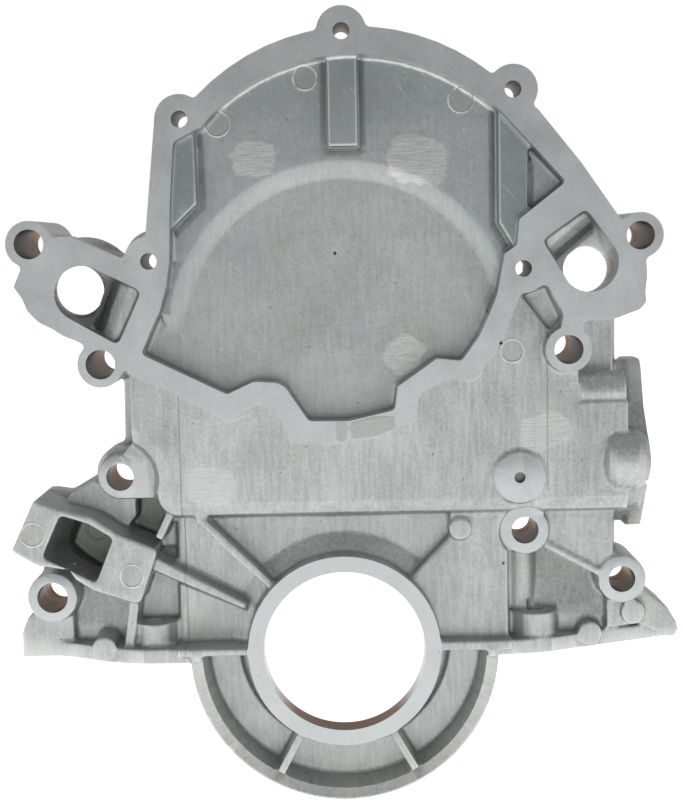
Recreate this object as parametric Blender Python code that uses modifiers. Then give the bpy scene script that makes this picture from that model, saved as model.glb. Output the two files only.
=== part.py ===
"""Timing cover of a V8 engine: one die-cast aluminium piece.

Sizes are in millimetres. x runs to the right and z up, both from the crankshaft axis, and
depths are measured forward from the block gasket face. The model faces -Y.
"""

import math

import bmesh
import bpy
from mathutils import Matrix, Vector

NAME = "timing_cover"
MM = 0.001
ARC_STEP = math.radians(30)
ARC_ERROR = 0.12

# Depths in front of the block face
BLOCK_FACE = 0.0
FLANGE_FACE = 10.0
SKIRT_BACK = 12.0
BRACKET_STEP = 20.0
CORNER_FLOOR = 21.0
FOOT_FACE = 25.0
PLATE_FLOOR = 29.0
SKIRT_FLOOR = 30.0
STEP_FACE = 30.0
LOW_BOSS_FACE = 31.0
INNER_BOSS_FACE = 33.0
PAN_BACK = 35.0
PLATEAU_FACE = 36.0
DOME_FLOOR = 37.0
RIB_FACE = 40.0
CHAMBER_FLOOR = 40.0
CASE_FACE = 42.0
DISC_FACE = 43.5
RIM_FACE = 44.5
PAD_FACE = 45.0
COLLAR_FACE = 45.0
PUMP_FACE = 50.0

WALL = 5.0
MILL_ALLOWANCE = 1.5
CUT_PAST = 4.0

# Crankshaft seal collar
SEAL_BORE = 70.0
SEAL_LAND = 11.0
COLLAR_DIAMETER = 83.6
SLINGER_BORE = 76.0
HUB_DIAMETER = 99.0
HUB_RISE = 5.0

# Half-round skirt for the oil pan seal
SKIRT_RADIUS = 66.9
RIM_WIDTH = 4.6
RIM_DRAFT = 2.6
SEAL_GROOVE_DEPTH = 3.0
SEAL_GROOVE_WIDTH = 12.0
MOAT_RADIUS = 46.3
MOAT_FLOOR = 26.5
SKIRT_WALL = 9.4
SKIRT_RIB_ANGLES = (-118.0, -60.5)
RIB_WIDTH = 3.4

# Chain case
CASE_LEFT = -89.5
CASE_RIGHT = 123.2
CASE_NOTCH = (102.0, 106.0)
CAVITY_RIGHT = CASE_RIGHT - 13.2
CASE_BOTTOM = 58.0
CASE_ROUND = 7.0
ARCH_CENTRE = (2.0, 136.0)
ARCH_RADIUS = 78.0
DOME_RADIUS = 66.5
DOME_SLOPE = 8.0

# Lower plate and pan rail
PLATE_HALF = 73.0
PAN_FACE = -5.0
PAN_RAIL = 6.2
PAN_GAP = 57.0
SHELVES = {-1: (-1.4, 1.9), 1: (-0.8, 3.4)}

# Water pump flange
TAB_RADIUS = 10.3
TAB_HOLE = 6.9
TAB_THICK = 8.0
NECK_HALF = TAB_RADIUS - 4
NECK_ROOT = 2.0
TOP_ARC_CENTRE = (7.9, 172.8)
TOP_ARC_RADIUS = 91.2
INNER_ARC_CENTRE = (7.5, 166.6)
INNER_ARC_RADIUS = 86.3
PUMP_TABS = {
    "top": (3.4, 262.3),
    "upper_left": (-64.1, 227.8),
    "upper_right": (73.8, 237.4),
    "middle_left": (-78.7, 169.6),
    "middle_right": (77.8, 163.7),
}

# Through bolts: place, boss diameter, hole diameter, depth of the face
BOLTS = {
    "arm_left": ((-128.4, 177.6), 19.6, 12.4, PUMP_FACE),
    "rail_left": ((-100.3, 126.8), 19.4, 12.4, PUMP_FACE),
    "rail_right": ((96.6, 129.4), 19.4, 12.2, PUMP_FACE),
    "arm_right": ((126.6, 176.6), 19.2, 11.8, PUMP_FACE),
    "case_left": ((-96.7, 75.9), 19.4, 12.0, LOW_BOSS_FACE),
    "case_right": ((79.8, 49.4), 21.2, 11.8, INNER_BOSS_FACE),
    "foot_right": ((122.6, 26.4), 21.2, 11.6, LOW_BOSS_FACE),
    "foot_left": ((-128.3, 22.7), 22.0, 13.4, LOW_BOSS_FACE),
}

# Coolant ports
PORT_BODY = 24.0
PORT_NOSE = 16.0
PORT_THROAT = 8.0
PORTS = {"left": ((-115.6, 157.0), 22.4), "right": ((110.9, 162.0), 20.8)}

# Fuel pump pad, seen from the side: depth and height
FUEL_FACE = CASE_RIGHT + 9.8
FUEL_FLANGE = 7.0
FUEL_WINDOW = ((8.0, 65.0), (37.0, 95.0))
FUEL_AXIS = (35.0, 80.5)
FUEL_TUBE = 27.6
FUEL_BOLTS = ((12.5, 111.5), (12.5, 57.0))
FUEL_TAP = 6.9
FUEL_TAP_DEPTH = 16.0

# Pan bolt pads: x, depth, diameter, top
PAN_PADS = ((-83.1, 28.5, 17.0, 11.2), (85.0, 23.5, 19.6, 12.1))
PAN_TAP = 7.4

# Height of the frame's origin on the top of the block rail, over the crank axis
ORIGIN_HEIGHT = ARCH_CENTRE[1] + ARCH_RADIUS - 3.0


def clear_scene():
    for obj in list(bpy.data.objects):
        bpy.data.objects.remove(obj, do_unlink=True)


def new_collection(name):
    collection = bpy.data.collections.new(name)
    bpy.context.scene.collection.children.link(collection)
    return collection


def helper(obj, collection):
    """A form or a cutter that only shapes the casting."""
    collection.objects.link(obj)
    obj.hide_render = True
    obj.display_type = "WIRE"
    return obj


def arc_count(radius, sweep):
    """How many straight steps keep an arc within the allowed error."""
    step = min(ARC_STEP, 2 * math.acos(1 - min(0.5, ARC_ERROR / radius)))
    return max(1, math.ceil(abs(sweep) / step))


def arc(centre, radius, start, end):
    """Points on an arc, from one angle to another in degrees."""
    first = math.radians(start)
    sweep = math.radians(end - start)
    count = arc_count(radius, sweep)
    points = []
    for i in range(count + 1):
        angle = first + sweep * i / count
        points.append((centre[0] + radius * math.cos(angle), centre[1] + radius * math.sin(angle)))
    return points


def rounded(corners):
    """An outline through corners (u, v) or (u, v, radius), with each radius as an arc."""
    points = []
    for i, corner in enumerate(corners):
        here = Vector(corner[:2])
        if len(corner) == 2:
            points.append(tuple(here))
            continue
        before = (Vector(corners[i - 1][:2]) - here).normalized()
        after = (Vector(corners[(i + 1) % len(corners)][:2]) - here).normalized()
        half = before.angle(after) / 2
        middle = here + (before + after).normalized() * corner[2] / math.sin(half)
        start = here + before * corner[2] / math.tan(half)
        turn = math.pi - 2 * half
        sign = 1 if before.x * after.y - before.y * after.x < 0 else -1
        count = arc_count(corner[2], turn)
        for k in range(count + 1):
            angle = sign * turn * k / count
            points.append(tuple(middle + Matrix.Rotation(angle, 2) @ (start - middle)))
    return points


def extrude(name, outline, low, high, collection, axis="Y", edge=0.0):
    """A flat outline as a 2D curve, made solid between two levels.

    Along Y the outline is (x, z) and the levels are depths. Along X it is (depth, z),
    and along Z it is (x, depth).
    """
    curve = bpy.data.curves.new(name, "CURVE")
    curve.dimensions = "2D"
    curve.fill_mode = "BOTH"
    curve.extrude = ((high - low) / 2 - edge) * MM
    curve.bevel_depth = edge * MM
    curve.bevel_resolution = 1
    curve.offset = -edge * MM
    spline = curve.splines.new("POLY")
    spline.points.add(len(outline) - 1)
    for point, (u, v) in zip(spline.points, outline):
        point.co = (u * MM, v * MM, 0, 1)
    spline.use_cyclic_u = True
    drawn = bpy.data.objects.new(name + "_outline", curve)
    middle = (low + high) / 2 * MM
    if axis == "Y":
        drawn.matrix_world = Matrix.Translation((0, -middle, 0)) @ Matrix.Rotation(math.pi / 2, 4, "X")
    elif axis == "Z":
        drawn.matrix_world = Matrix.Translation((0, 0, middle)) @ Matrix.Rotation(math.pi, 4, "X")
    else:
        turn = Matrix(((0, 0, -1, 0), (-1, 0, 0, 0), (0, 1, 0, 0), (0, 0, 0, 1)))
        drawn.matrix_world = Matrix.Translation((middle, 0, 0)) @ turn
    bpy.context.scene.collection.objects.link(drawn)
    bpy.context.view_layer.update()
    evaluated = drawn.evaluated_get(bpy.context.evaluated_depsgraph_get())
    mesh = bpy.data.meshes.new_from_object(evaluated)
    mesh.transform(drawn.matrix_world)
    bpy.data.objects.remove(drawn, do_unlink=True)
    bpy.data.curves.remove(curve)
    weld(mesh)
    return helper(bpy.data.objects.new(name, mesh), collection)


def weld(mesh):
    """Joins the loose caps and points every face outwards."""
    shape = bmesh.new()
    shape.from_mesh(mesh)
    bmesh.ops.remove_doubles(shape, verts=shape.verts, dist=0.00001)
    bmesh.ops.recalc_face_normals(shape, faces=shape.faces)
    shape.to_mesh(mesh)
    shape.free()


def box(name, low, high, collection):
    """A block between two corners, each (x, depth, z)."""
    shape = bmesh.new()
    bmesh.ops.create_cube(shape, size=1)
    size = [abs(b - a) * MM for a, b in zip(low, high)]
    centre = Vector((low[0] + high[0], -(low[1] + high[1]), low[2] + high[2])) * MM / 2
    bmesh.ops.scale(shape, vec=size, verts=shape.verts)
    bmesh.ops.translate(shape, vec=centre, verts=shape.verts)
    mesh = bpy.data.meshes.new(name)
    shape.to_mesh(mesh)
    shape.free()
    return helper(bpy.data.objects.new(name, mesh), collection)


def round_bar(name, start, end, radius, collection, end_radius=None, segments=28):
    """A cylinder or a cone between two points, each (x, depth, z)."""
    a = Vector((start[0], -start[1], start[2])) * MM
    b = Vector((end[0], -end[1], end[2])) * MM
    far = radius if end_radius is None else end_radius
    shape = bmesh.new()
    bmesh.ops.create_cone(shape, cap_ends=True, segments=segments, radius1=radius * MM,
                          radius2=far * MM, depth=(b - a).length)
    turn = Vector((0, 0, 1)).rotation_difference(b - a).to_matrix().to_4x4()
    bmesh.ops.transform(shape, matrix=Matrix.Translation((a + b) / 2) @ turn, verts=shape.verts)
    mesh = bpy.data.meshes.new(name)
    shape.to_mesh(mesh)
    shape.free()
    return helper(bpy.data.objects.new(name, mesh), collection)


def boss(name, centre, diameter, low, high, collection, segments=28):
    """A round boss or a drilled hole that points forward."""
    start = (centre[0], low, centre[1])
    end = (centre[0], high, centre[1])
    return round_bar(name, start, end, diameter / 2, collection, segments=segments)


def turned(name, centre, section, collection, segments=64):
    """A section of (radius, depth) corners, turned about a forward axis by a Screw modifier."""
    mesh = bpy.data.meshes.new(name)
    count = len(section)
    edges = [(i, (i + 1) % count) for i in range(count)]
    mesh.from_pydata([(radius * MM, 0, -depth * MM) for radius, depth in section], edges, [])
    obj = bpy.data.objects.new(name, mesh)
    screw = obj.modifiers.new("turn", "SCREW")
    screw.steps = segments
    screw.render_steps = segments
    screw.use_merge_vertices = True
    screw.merge_threshold = 0.00001
    bpy.context.scene.collection.objects.link(obj)
    bpy.context.view_layer.update()
    evaluated = obj.evaluated_get(bpy.context.evaluated_depsgraph_get())
    solid = bpy.data.meshes.new_from_object(evaluated)
    bpy.data.objects.remove(obj, do_unlink=True)
    place = Matrix.Translation((centre[0] * MM, 0, centre[1] * MM))
    solid.transform(place @ Matrix.Rotation(-math.pi / 2, 4, "X"))
    weld(solid)
    return helper(bpy.data.objects.new(name, solid), collection)


def loft(name, front, front_depth, back, back_depth, collection):
    """A tapered passage between two unlike sections."""
    shape = bmesh.new()
    for outline, depth in ((front, front_depth), (back, back_depth)):
        for x, z in outline:
            shape.verts.new((x * MM, -depth * MM, z * MM))
    hull = bmesh.ops.convex_hull(shape, input=shape.verts)
    loose = [item for item in hull["geom_interior"] if isinstance(item, bmesh.types.BMVert)]
    bmesh.ops.delete(shape, geom=loose, context="VERTS")
    bmesh.ops.recalc_face_normals(shape, faces=shape.faces)
    mesh = bpy.data.meshes.new(name)
    shape.to_mesh(mesh)
    shape.free()
    return helper(bpy.data.objects.new(name, mesh), collection)


def combine(obj, operation, other):
    """Adds, cuts or intersects with one object, or with all of a collection."""
    modifier = obj.modifiers.new(operation.lower(), "BOOLEAN")
    modifier.operation = operation
    modifier.solver = "MANIFOLD"
    if isinstance(other, bpy.types.Collection):
        modifier.operand_type = "COLLECTION"
        modifier.collection = other
    else:
        modifier.object = other


def bar_outline(start, end, width):
    """The outline of a straight rib between two points."""
    a = Vector(start)
    b = Vector(end)
    side = (b - a).orthogonal().normalized() * width / 2
    return [tuple(a + side), tuple(b + side), tuple(b - side), tuple(a - side)]


def pump_outline():
    """The outside of the water pump flange."""
    top = arc(TOP_ARC_CENTRE, TOP_ARC_RADIUS, 135.6, 50.7)
    right = [(84.1, 229.1), (101.8, 207.1), (116.3, 186.3), (128.8, 168.0), (129.4, 160.0), (128.6, 153.0),
             (129.1, 149.0), (126.5, 145.8), (115.0, 141.7), (103.3, 141.3), (102.7, 138.0), (93.5, 139.8),
             (94.5, 144.4), (87.1, 157.0), (76.6, 153.1)]
    lower = rounded([(70.2, 137.3), (57.5, 117.5, 6), (44.4, 117.5, 4), (34.0, 112.0, 4), (32.0, 100.9, 4),
                     (15.0, 94.4), (-3.6, 91.3), (-21.5, 93.2, 2), (-27.5, 107.5, 5), (-35.3, 108.1),
                     (-46.0, 101.8, 4), (-68.1, 113.2), (-89.6, 124.0)])
    left = [(-107.7, 135.7), (-125.7, 145.2), (-130.1, 149.9), (-132.0, 155.0), (-135.4, 160.0),
            (-131.9, 167.9), (-118.9, 180.1), (-111.8, 180.8), (-88.4, 170.4), (-79.8, 178.5), (-74.4, 227.6)]
    return top + right + lower + left


def chamber_outline():
    """The inside of the water pump flange."""
    top = arc(INNER_ARC_CENTRE, INNER_ARC_RADIUS, 128.5, 58.5)
    right = [(67.4, 230.2), (79.9, 216.5), (95.7, 199.2), (76.1, 184.2), (75.1, 173.5), (70.0, 170.0),
             (68.3, 161.1), (66.6, 152.8), (63.6, 145.4), (59.3, 136.2)]
    lower = rounded([(51.6, 125.5), (41.2, 126.7), (24.6, 115.2), (23.2, 105.3), (4.1, 101.0), (-13.3, 101.2),
                     (-24.0, 117.6, 8), (-36.0, 118.4, 6), (-47.4, 113.2), (-83.1, 130.8)])
    left = [(-79.0, 140.2), (-74.5, 149.3), (-71.6, 159.7), (-70.1, 169.2), (-68.9, 194.8), (-66.9, 218.5),
            (-55.5, 224.4)]
    return top + right + lower + left


def pump_flange(forms):
    """The dish that the water pump bolts to, with its tabs."""
    front = PUMP_FACE + MILL_ALLOWANCE
    extrude("pump_flange", pump_outline(), PAN_BACK, front, forms)
    for name, centre in PUMP_TABS.items():
        boss("tab_" + name, centre, 2 * TAB_RADIUS, PAN_BACK, front, forms)
        tab_neck(name, centre, front, forms)
    side = PUMP_TABS["middle_left"]
    round_bar("tab_root", (side[0], FOOT_FACE, side[1]), (side[0], PUMP_FACE, side[1]), 13.5, forms,
              end_radius=TAB_RADIUS)


def tab_neck(name, centre, front, forms):
    """A straight neck from the middle of a tab to the inner edge of the flange."""
    across = centre[0] - INNER_ARC_CENTRE[0]
    up = centre[1] - INNER_ARC_CENTRE[1]
    reach = math.hypot(across, up)
    foot = min(reach, INNER_ARC_RADIUS) - NECK_ROOT
    foot_x = INNER_ARC_CENTRE[0] + across * foot / reach
    foot_z = INNER_ARC_CENTRE[1] + up * foot / reach
    side_x = -up / reach * NECK_HALF
    side_z = across / reach * NECK_HALF
    outline = [(centre[0] - side_x, centre[1] - side_z), (centre[0] + side_x, centre[1] + side_z),
               (foot_x + side_x, foot_z + side_z), (foot_x - side_x, foot_z - side_z)]
    extrude("neck_" + name, outline, PAN_BACK, front, forms)


def tab_reliefs(hollows):
    """Thins the flange behind its tabs, outside the wall of the dish."""
    wall = INNER_ARC_RADIUS + WALL
    lip = arc(INNER_ARC_CENTRE, wall, 38, 148) + arc(INNER_ARC_CENTRE, wall + 4 * TAB_RADIUS, 148, 38)
    extrude("lip_relief", lip, FOOT_FACE, PUMP_FACE - TAB_THICK, hollows)
    for name in ("middle_left", "middle_right"):
        boss("relief_" + name, PUMP_TABS[name], TAB_HOLE + 3.6, BLOCK_FACE - CUT_PAST, CHAMBER_FLOOR, hollows)


def bolt_bosses(forms):
    """A boss for each through bolt, on the rear flange."""
    for name, (centre, diameter, _, face) in BOLTS.items():
        milled = face == PUMP_FACE
        front = face + MILL_ALLOWANCE if milled else face
        boss("boss_" + name, centre, diameter, BLOCK_FACE - MILL_ALLOWANCE, front, forms)
    centre, diameter, _, _ = BOLTS["case_left"]
    boss("boss_root", centre, diameter + 5, BLOCK_FACE - MILL_ALLOWANCE, BRACKET_STEP - 2, forms)
    centre = BOLTS["case_right"][0]
    round_bar("boss_column", (centre[0] - 1.6, 16.0, 4.0), (centre[0] - 0.9, 16.0, centre[1]), 7.2, forms)


def coolant_arms(forms):
    """The two arms that carry coolant from the pump to the block."""
    back = BLOCK_FACE - MILL_ALLOWANCE
    left = [(-131.0, 168.0), (-118.9, 179.5), (-111.8, 180.0), (-90.0, 170.5), (-82.0, 150.0), (-82.0, 124.0),
            (-107.7, 136.2), (-125.0, 145.8), (-131.0, 155.0)]
    right = [(84.0, 188.0), (98.0, 205.0), (115.8, 186.0), (128.2, 167.0), (128.6, 149.5), (126.0, 146.3),
             (115.0, 142.2), (94.0, 141.0), (88.0, 158.0), (87.0, 172.0)]
    extrude("arm_left", left, back, PAN_BACK + WALL, forms)
    extrude("arm_right", right, back, PAN_BACK + WALL, forms)
    for side, shift in (("left", 2), ("right", -4)):
        (x, z), _ = PORTS[side]
        round_bar("port_body_" + side, (x + shift, back, z), (x + shift, RIB_FACE, z), PORT_BODY, forms,
                  end_radius=PORT_NOSE, segments=40)


def chain_case(forms, trims):
    """The raised case over the timing chain, with its arch over the camshaft gear."""
    back = BLOCK_FACE - MILL_ALLOWANCE
    extrude("arch", arc(ARCH_CENTRE, ARCH_RADIUS, -25, 205), back, DOME_FLOOR + 1, forms)
    corner = BOLTS["case_left"][0]
    past = CASE_ROUND + 1
    outline = [(CASE_LEFT - past, 166.0), (CASE_LEFT - past, corner[1] + 16)]
    outline += arc(corner, 16.0, 90, -20)
    outline += rounded([outline[-1], (corner[0] + 17.0, CASE_BOTTOM, 11), (CASE_RIGHT + past, CASE_BOTTOM)])[1:]
    outline += [(CASE_RIGHT + past, 166.0)]
    case = extrude("case", outline, back - CASE_ROUND, CASE_FACE, forms, edge=CASE_ROUND)
    bounds = box("case_bounds", (CASE_LEFT, back, 30), (CASE_RIGHT, PUMP_FACE, 156), trims)
    combine(case, "INTERSECT", bounds)
    notch = box("case_notch", (CASE_NOTCH[0], back - 5, CASE_NOTCH[1]), (140, PUMP_FACE + 1, 160), trims)
    combine(case, "DIFFERENCE", notch)
    left = (CASE_NOTCH[0] - 2, CASE_FACE - 9.4, CASE_NOTCH[1] + 4)
    right = (CASE_RIGHT - 0.6, CASE_FACE - 9.4, CASE_NOTCH[1] + 4)
    round_bar("case_shoulder", left, right, 9.0, forms)
    boss("gauge_disc", (76.5, 74.4), 22.4, PLATEAU_FACE, DISC_FACE, forms)
    shelf = [(-96.0, 66.2), (-79.0, 66.2), (-79.0, 88.0), (-90.0, 92.0), (-96.0, 85.0)]
    extrude("boss_shelf", shelf, back, LOW_BOSS_FACE, forms)
    edge = CASE_RIGHT - 2.7
    web = [(92.0, 104.0), (edge, 104.0), (edge, 146.0), (92.0, 146.0)]
    extrude("side_web", web, back, BRACKET_STEP, forms)


def rear_flange(forms):
    """The flange that seals against the block."""
    outline = rounded([(-144.0, PAN_FACE - 3), (-144.0, 5.6, 6), (-138.5, 18.0), (-136.0, 32.0), (-131.0, 40.0),
                       (-141.5, 46.5), (-131.8, 68.0, 2), (-122.6, 66.5, 3), (-110.3, 73.6), (-97.0, 90.0, 3),
                       (-96.5, 124.0), (-84.0, 150.0), (84.0, 150.0), (104.0, 141.0), (CASE_RIGHT, 141.0),
                       (CASE_RIGHT, 36.0), (133.4, 19.8), (145.3, 8.6), (150.0, 1.1), (150.8, PAN_FACE - 3)])
    extrude("rear_flange", outline, BLOCK_FACE - MILL_ALLOWANCE, FLANGE_FACE, forms)


def lower_plate(forms):
    """The plate around the crankshaft, its plateau and the step beside it."""
    back = BLOCK_FACE - MILL_ALLOWANCE
    plate = [(-PLATE_HALF, 62.0), (-PLATE_HALF, -1.0), (PLATE_HALF, -1.0), (PLATE_HALF, 62.0)]
    extrude("plate", plate, back, PLATE_FLOOR, forms, edge=2.0)
    plateau = [(47.0, 61.0), (46.7, 48.0), (28.5, 29.4), (34.0, 0.0), (72.0, 0.0), (72.0, 61.0)]
    extrude("plateau", plateau, back + 2, PLATEAU_FACE, forms, edge=1.0)
    step = [(70.0, 62.0), (70.0, 43.0), (88.0, 43.0), (111.0, 30.0), (119.0, 34.0), (119.0, 62.0)]
    extrude("step", step, back, STEP_FACE, forms, edge=1.0)


def seal_collar(forms, trims):
    """The collar that holds the crankshaft seal, with a low hub around its upper half."""
    radius = COLLAR_DIAMETER / 2
    back = PLATE_FLOOR - WALL + 1
    section = [(radius, back), (radius, COLLAR_FACE), (radius - 8, COLLAR_FACE), (radius - 8, back)]
    collar = turned("collar", (0, 0), section, forms)
    section = [(HUB_DIAMETER / 2, PLATE_FLOOR - 1), (HUB_DIAMETER / 2, PLATE_FLOOR), (radius, PLATE_FLOOR + HUB_RISE),
               (radius - 4, PLATE_FLOOR + HUB_RISE), (radius - 4, PLATE_FLOOR - 1)]
    hub = turned("hub", (0, 0), section, forms)
    half = box("hub_half", (-90, -10, 0.5), (90, 60, 90), trims)
    combine(hub, "INTERSECT", half)
    return collar


def pan_skirt(forms, trims):
    """The half-round skirt, with the groove for the oil pan seal in its edge."""
    inner = SKIRT_RADIUS - SKIRT_WALL
    groove = SKIRT_RADIUS - SEAL_GROOVE_DEPTH
    groove_back = SKIRT_BACK + 6
    rim_foot = SKIRT_RADIUS - RIM_WIDTH - RIM_DRAFT
    collar = COLLAR_DIAMETER / 2 - 3
    section = [
        (collar, MOAT_FLOOR), (collar, PLATE_FLOOR - WALL), (inner, PLATE_FLOOR - WALL), (inner, SKIRT_BACK),
        (SKIRT_RADIUS, SKIRT_BACK), (SKIRT_RADIUS, groove_back), (groove, groove_back),
        (groove, groove_back + SEAL_GROOVE_WIDTH), (SKIRT_RADIUS, groove_back + SEAL_GROOVE_WIDTH),
        (SKIRT_RADIUS, RIM_FACE - 1.2), (SKIRT_RADIUS - 1.2, RIM_FACE), (SKIRT_RADIUS - RIM_WIDTH, RIM_FACE),
        (rim_foot, SKIRT_FLOOR), (MOAT_RADIUS, SKIRT_FLOOR), (MOAT_RADIUS, MOAT_FLOOR),
    ]
    skirt = turned("skirt", (0, 0), section, forms, 72)
    half = box("skirt_half", (-90, -10, -90), (90, 60, 0), trims)
    combine(skirt, "INTERSECT", half)
    for angle in SKIRT_RIB_ANGLES:
        way = Vector((math.cos(math.radians(angle)), math.sin(math.radians(angle))))
        rib = bar_outline(way * (COLLAR_DIAMETER / 2 - 2), way * (SKIRT_RADIUS - 3), RIB_WIDTH)
        extrude("skirt_rib", rib, PLATE_FLOOR - 1, RIM_FACE - 0.3, forms)


def pan_rail(forms):
    """The two rails that the oil pan seals against, with the pads for its bolts."""
    rim = SKIRT_RADIUS - RIM_WIDTH
    left = [(-144.0, -1.5), (-144.0, 21.0), (-130.0, 24.0), (-119.0, 28.0), (-110.0, 33.0), (-100.0, 37.5),
            (-88.0, 40.5), (-68.0, 41.0), (-rim, 41.0), (-rim, SKIRT_FLOOR), (-PAN_GAP, SKIRT_FLOOR), (-PAN_GAP, -1.5)]
    right = [(PAN_GAP, -1.5), (PAN_GAP, SKIRT_FLOOR), (rim, SKIRT_FLOOR), (rim, 37.5), (70.0, 36.5), (80.0, 35.0),
             (92.0, 32.5), (104.0, 27.0), (120.0, 20.5), (137.0, 13.5), (152.0, 6.5), (152.0, -1.5)]
    for name, outline in (("pan_rail_left", left), ("pan_rail_right", right)):
        extrude(name, outline, PAN_FACE - 2, PAN_FACE + PAN_RAIL, forms, axis="Z")
    for side, (foot, top) in SHELVES.items():
        low = (side * (COLLAR_DIAMETER / 2 - 3), BLOCK_FACE, foot)
        high = (side * (PLATE_HALF - 0.5), RIM_FACE - 0.2, top)
        box("shelf", low, high, forms)
    for x, depth, diameter, top in PAN_PADS:
        round_bar("pan_pad", (x, depth, PAN_FACE - 1), (x, depth, top), diameter / 2, forms)
        web = [(x - diameter / 2, BLOCK_FACE + 1), (x - diameter / 2, depth),
               (x + diameter / 2, depth), (x + diameter / 2, BLOCK_FACE + 1)]
        extrude("pan_pad_root", web, PAN_FACE, top, forms, axis="Z")


def corner_feet(forms):
    """The thick lower corners around the outer bolts, with the ejector stubs."""
    back = BLOCK_FACE - MILL_ALLOWANCE
    left = [(-143.6, PAN_FACE - 2), (-143.6, 5.6), (-140.8, 12.4), (-136.5, 16.0), (-128.0, 26.0), (-120.0, 20.0),
            (-120.0, PAN_FACE - 2)]
    right = [(116.8, 24.0), (118.0, 34.0), (124.0, 36.5), (133.8, 20.2), (144.2, 11.5), (147.8, 5.0),
             (149.2, 0.5), (139.5, 0.8), (131.4, 4.6), (116.8, 3.0)]
    extrude("foot_left", left, back, FOOT_FACE, forms, edge=1.0)
    extrude("foot_right", right, back, FOOT_FACE, forms, edge=1.0)
    boss("stub_left", (-105.1, 1.2), 10.6, 5, 38.5, forms, 20)
    boss("stub_right", (109.0, 1.4), 10.4, 5, 28, forms, 20)
    boss("stub_corner", (128.2, 10.6), 10.6, 5, FOOT_FACE + 3, forms, 20)
    boss("stub_plateau", (51.1, 51.4), 9.6, PLATE_FLOOR, PLATEAU_FACE + 1.8, forms, 20)


def corner_floors(forms):
    """The sloping floors between the plate, the bolts and the pan rail."""
    back = BLOCK_FACE - MILL_ALLOWANCE
    outer = [(back, -2.0), (CORNER_FLOOR, -2.0), (CORNER_FLOOR, 8.0), (14.0, 40.0), (back, 40.0)]
    extrude("floor_outer", outer, -121.0, -92.0, forms, axis="X")
    inner = [(back, -2.0), (CORNER_FLOOR + 1, -2.0), (CORNER_FLOOR + 1, 10.0), (19.0, 44.0), (back, 44.0)]
    extrude("floor_inner", inner, -95.0, 2 - PLATE_HALF, forms, axis="X")
    beside = [(-71.0, 43.0), (-81.0, 43.0), (-79.0, 50.0), (-72.0, 65.0), (-71.0, 65.0)]
    extrude("floor_beside", beside, back, CORNER_FLOOR, forms)
    right = [(back, -2.0), (CORNER_FLOOR - 1, -2.0), (CORNER_FLOOR - 1, 8.0), (11.0, 46.0), (back, 46.0)]
    extrude("floor_right", right, PLATE_HALF - 3, 117.5, forms, axis="X")


def timing_bracket(forms):
    """The bracket for the timing mark, with its spar to the collar."""
    back = BLOCK_FACE - MILL_ALLOWANCE
    outer = rounded([(-133.0, 67.9, 1), (-122.6, 64.1), (-108.1, 60.0), (-97.4, 52.6), (-79.9, 45.1, 3),
                     (-88.4, 20.6, 3.5), (-108.4, 27.6, 2), (-116.2, 32.6), (-118.8, 36.8), (-132.2, 38.9),
                     (-143.5, 45.6, 1)])
    extrude("bracket", outer, back, RIB_FACE, forms, edge=0.8)
    step = [(-122.0, 64.0), (-121.5, 66.4), (-110.3, 73.0), (-100.0, 70.0), (-91.5, 67.5), (-91.5, 57.0),
            (-97.0, 50.0), (-111.0, 58.0)]
    extrude("bracket_step", step, back, BRACKET_STEP, forms)
    spar = [(-85.0, 44.2), (-40.0, 20.6), (-42.0, 16.0), (-86.0, 34.0)]
    crest = [(-84.0, 42.0), (-42.5, 19.6), (-43.5, 17.2), (-85.0, 36.6)]
    loft("spar", crest, PLATEAU_FACE, spar, PLATE_FLOOR - 2, forms)
    extrude("short_rib", bar_outline((-71.5, 66.6), (-79.8, 49.6), 3.3), back, 38.0, forms)
    extrude("bracket_rib", bar_outline((-91.2, 23.0), (-95.4, -4.0), 4.2), back, PLATEAU_FACE, forms)


def front_ribs(forms):
    """The thin webs that stiffen the lower plate."""
    extrude("rib_left", bar_outline((-62.5, 59.0), (-28.0, 25.0), RIB_WIDTH), PLATE_FLOOR - 2, RIB_FACE, forms)
    extrude("rib_right", bar_outline((86.0, 44.0), (113.0, 29.2), 2.8), FLANGE_FACE - 2, LOW_BOSS_FACE, forms)


def fuel_pump_pad(forms):
    """The oval pad on the side, with the tube around its opening."""
    outline = rounded([(-1.5, 47.5), (-1.5, 122.3), (17.0, 122.3, 6), (25.0, 102.0), (36.0, 89.0, 4), (42.0, 80.0, 4),
                       (36.5, 72.0, 4), (17.5, 47.5, 6)])
    extrude("fuel_pad", outline, FUEL_FACE - FUEL_FLANGE, FUEL_FACE + MILL_ALLOWANCE, forms, axis="X", edge=1.0)
    neck = [(-1.5, 50.0), (-1.5, 120.5), (17.0, 120.5), (22.0, 106.0), (31.0, 96.0), (37.0, 88.0), (37.0, 72.0),
            (29.0, 60.0), (17.0, 50.0)]
    extrude("fuel_neck", neck, CAVITY_RIGHT - 2, FUEL_FACE - 2, forms, axis="X")
    depth, height = FUEL_AXIS
    radius = FUEL_TUBE / 2
    stations = [(-20.5, 0.6), (-18.5, 0.85), (-15.0, 1.0), (-6.0, 1.0), (-2.5, 0.85), (-0.6, 0.6)]
    for (near, share), (far, next_share) in zip(stations, stations[1:]):
        start = (FUEL_FACE + near - 0.02, depth, height)
        round_bar("fuel_bulge", start, (FUEL_FACE + far, depth, height), radius * share, forms,
                  end_radius=radius * next_share)


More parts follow.
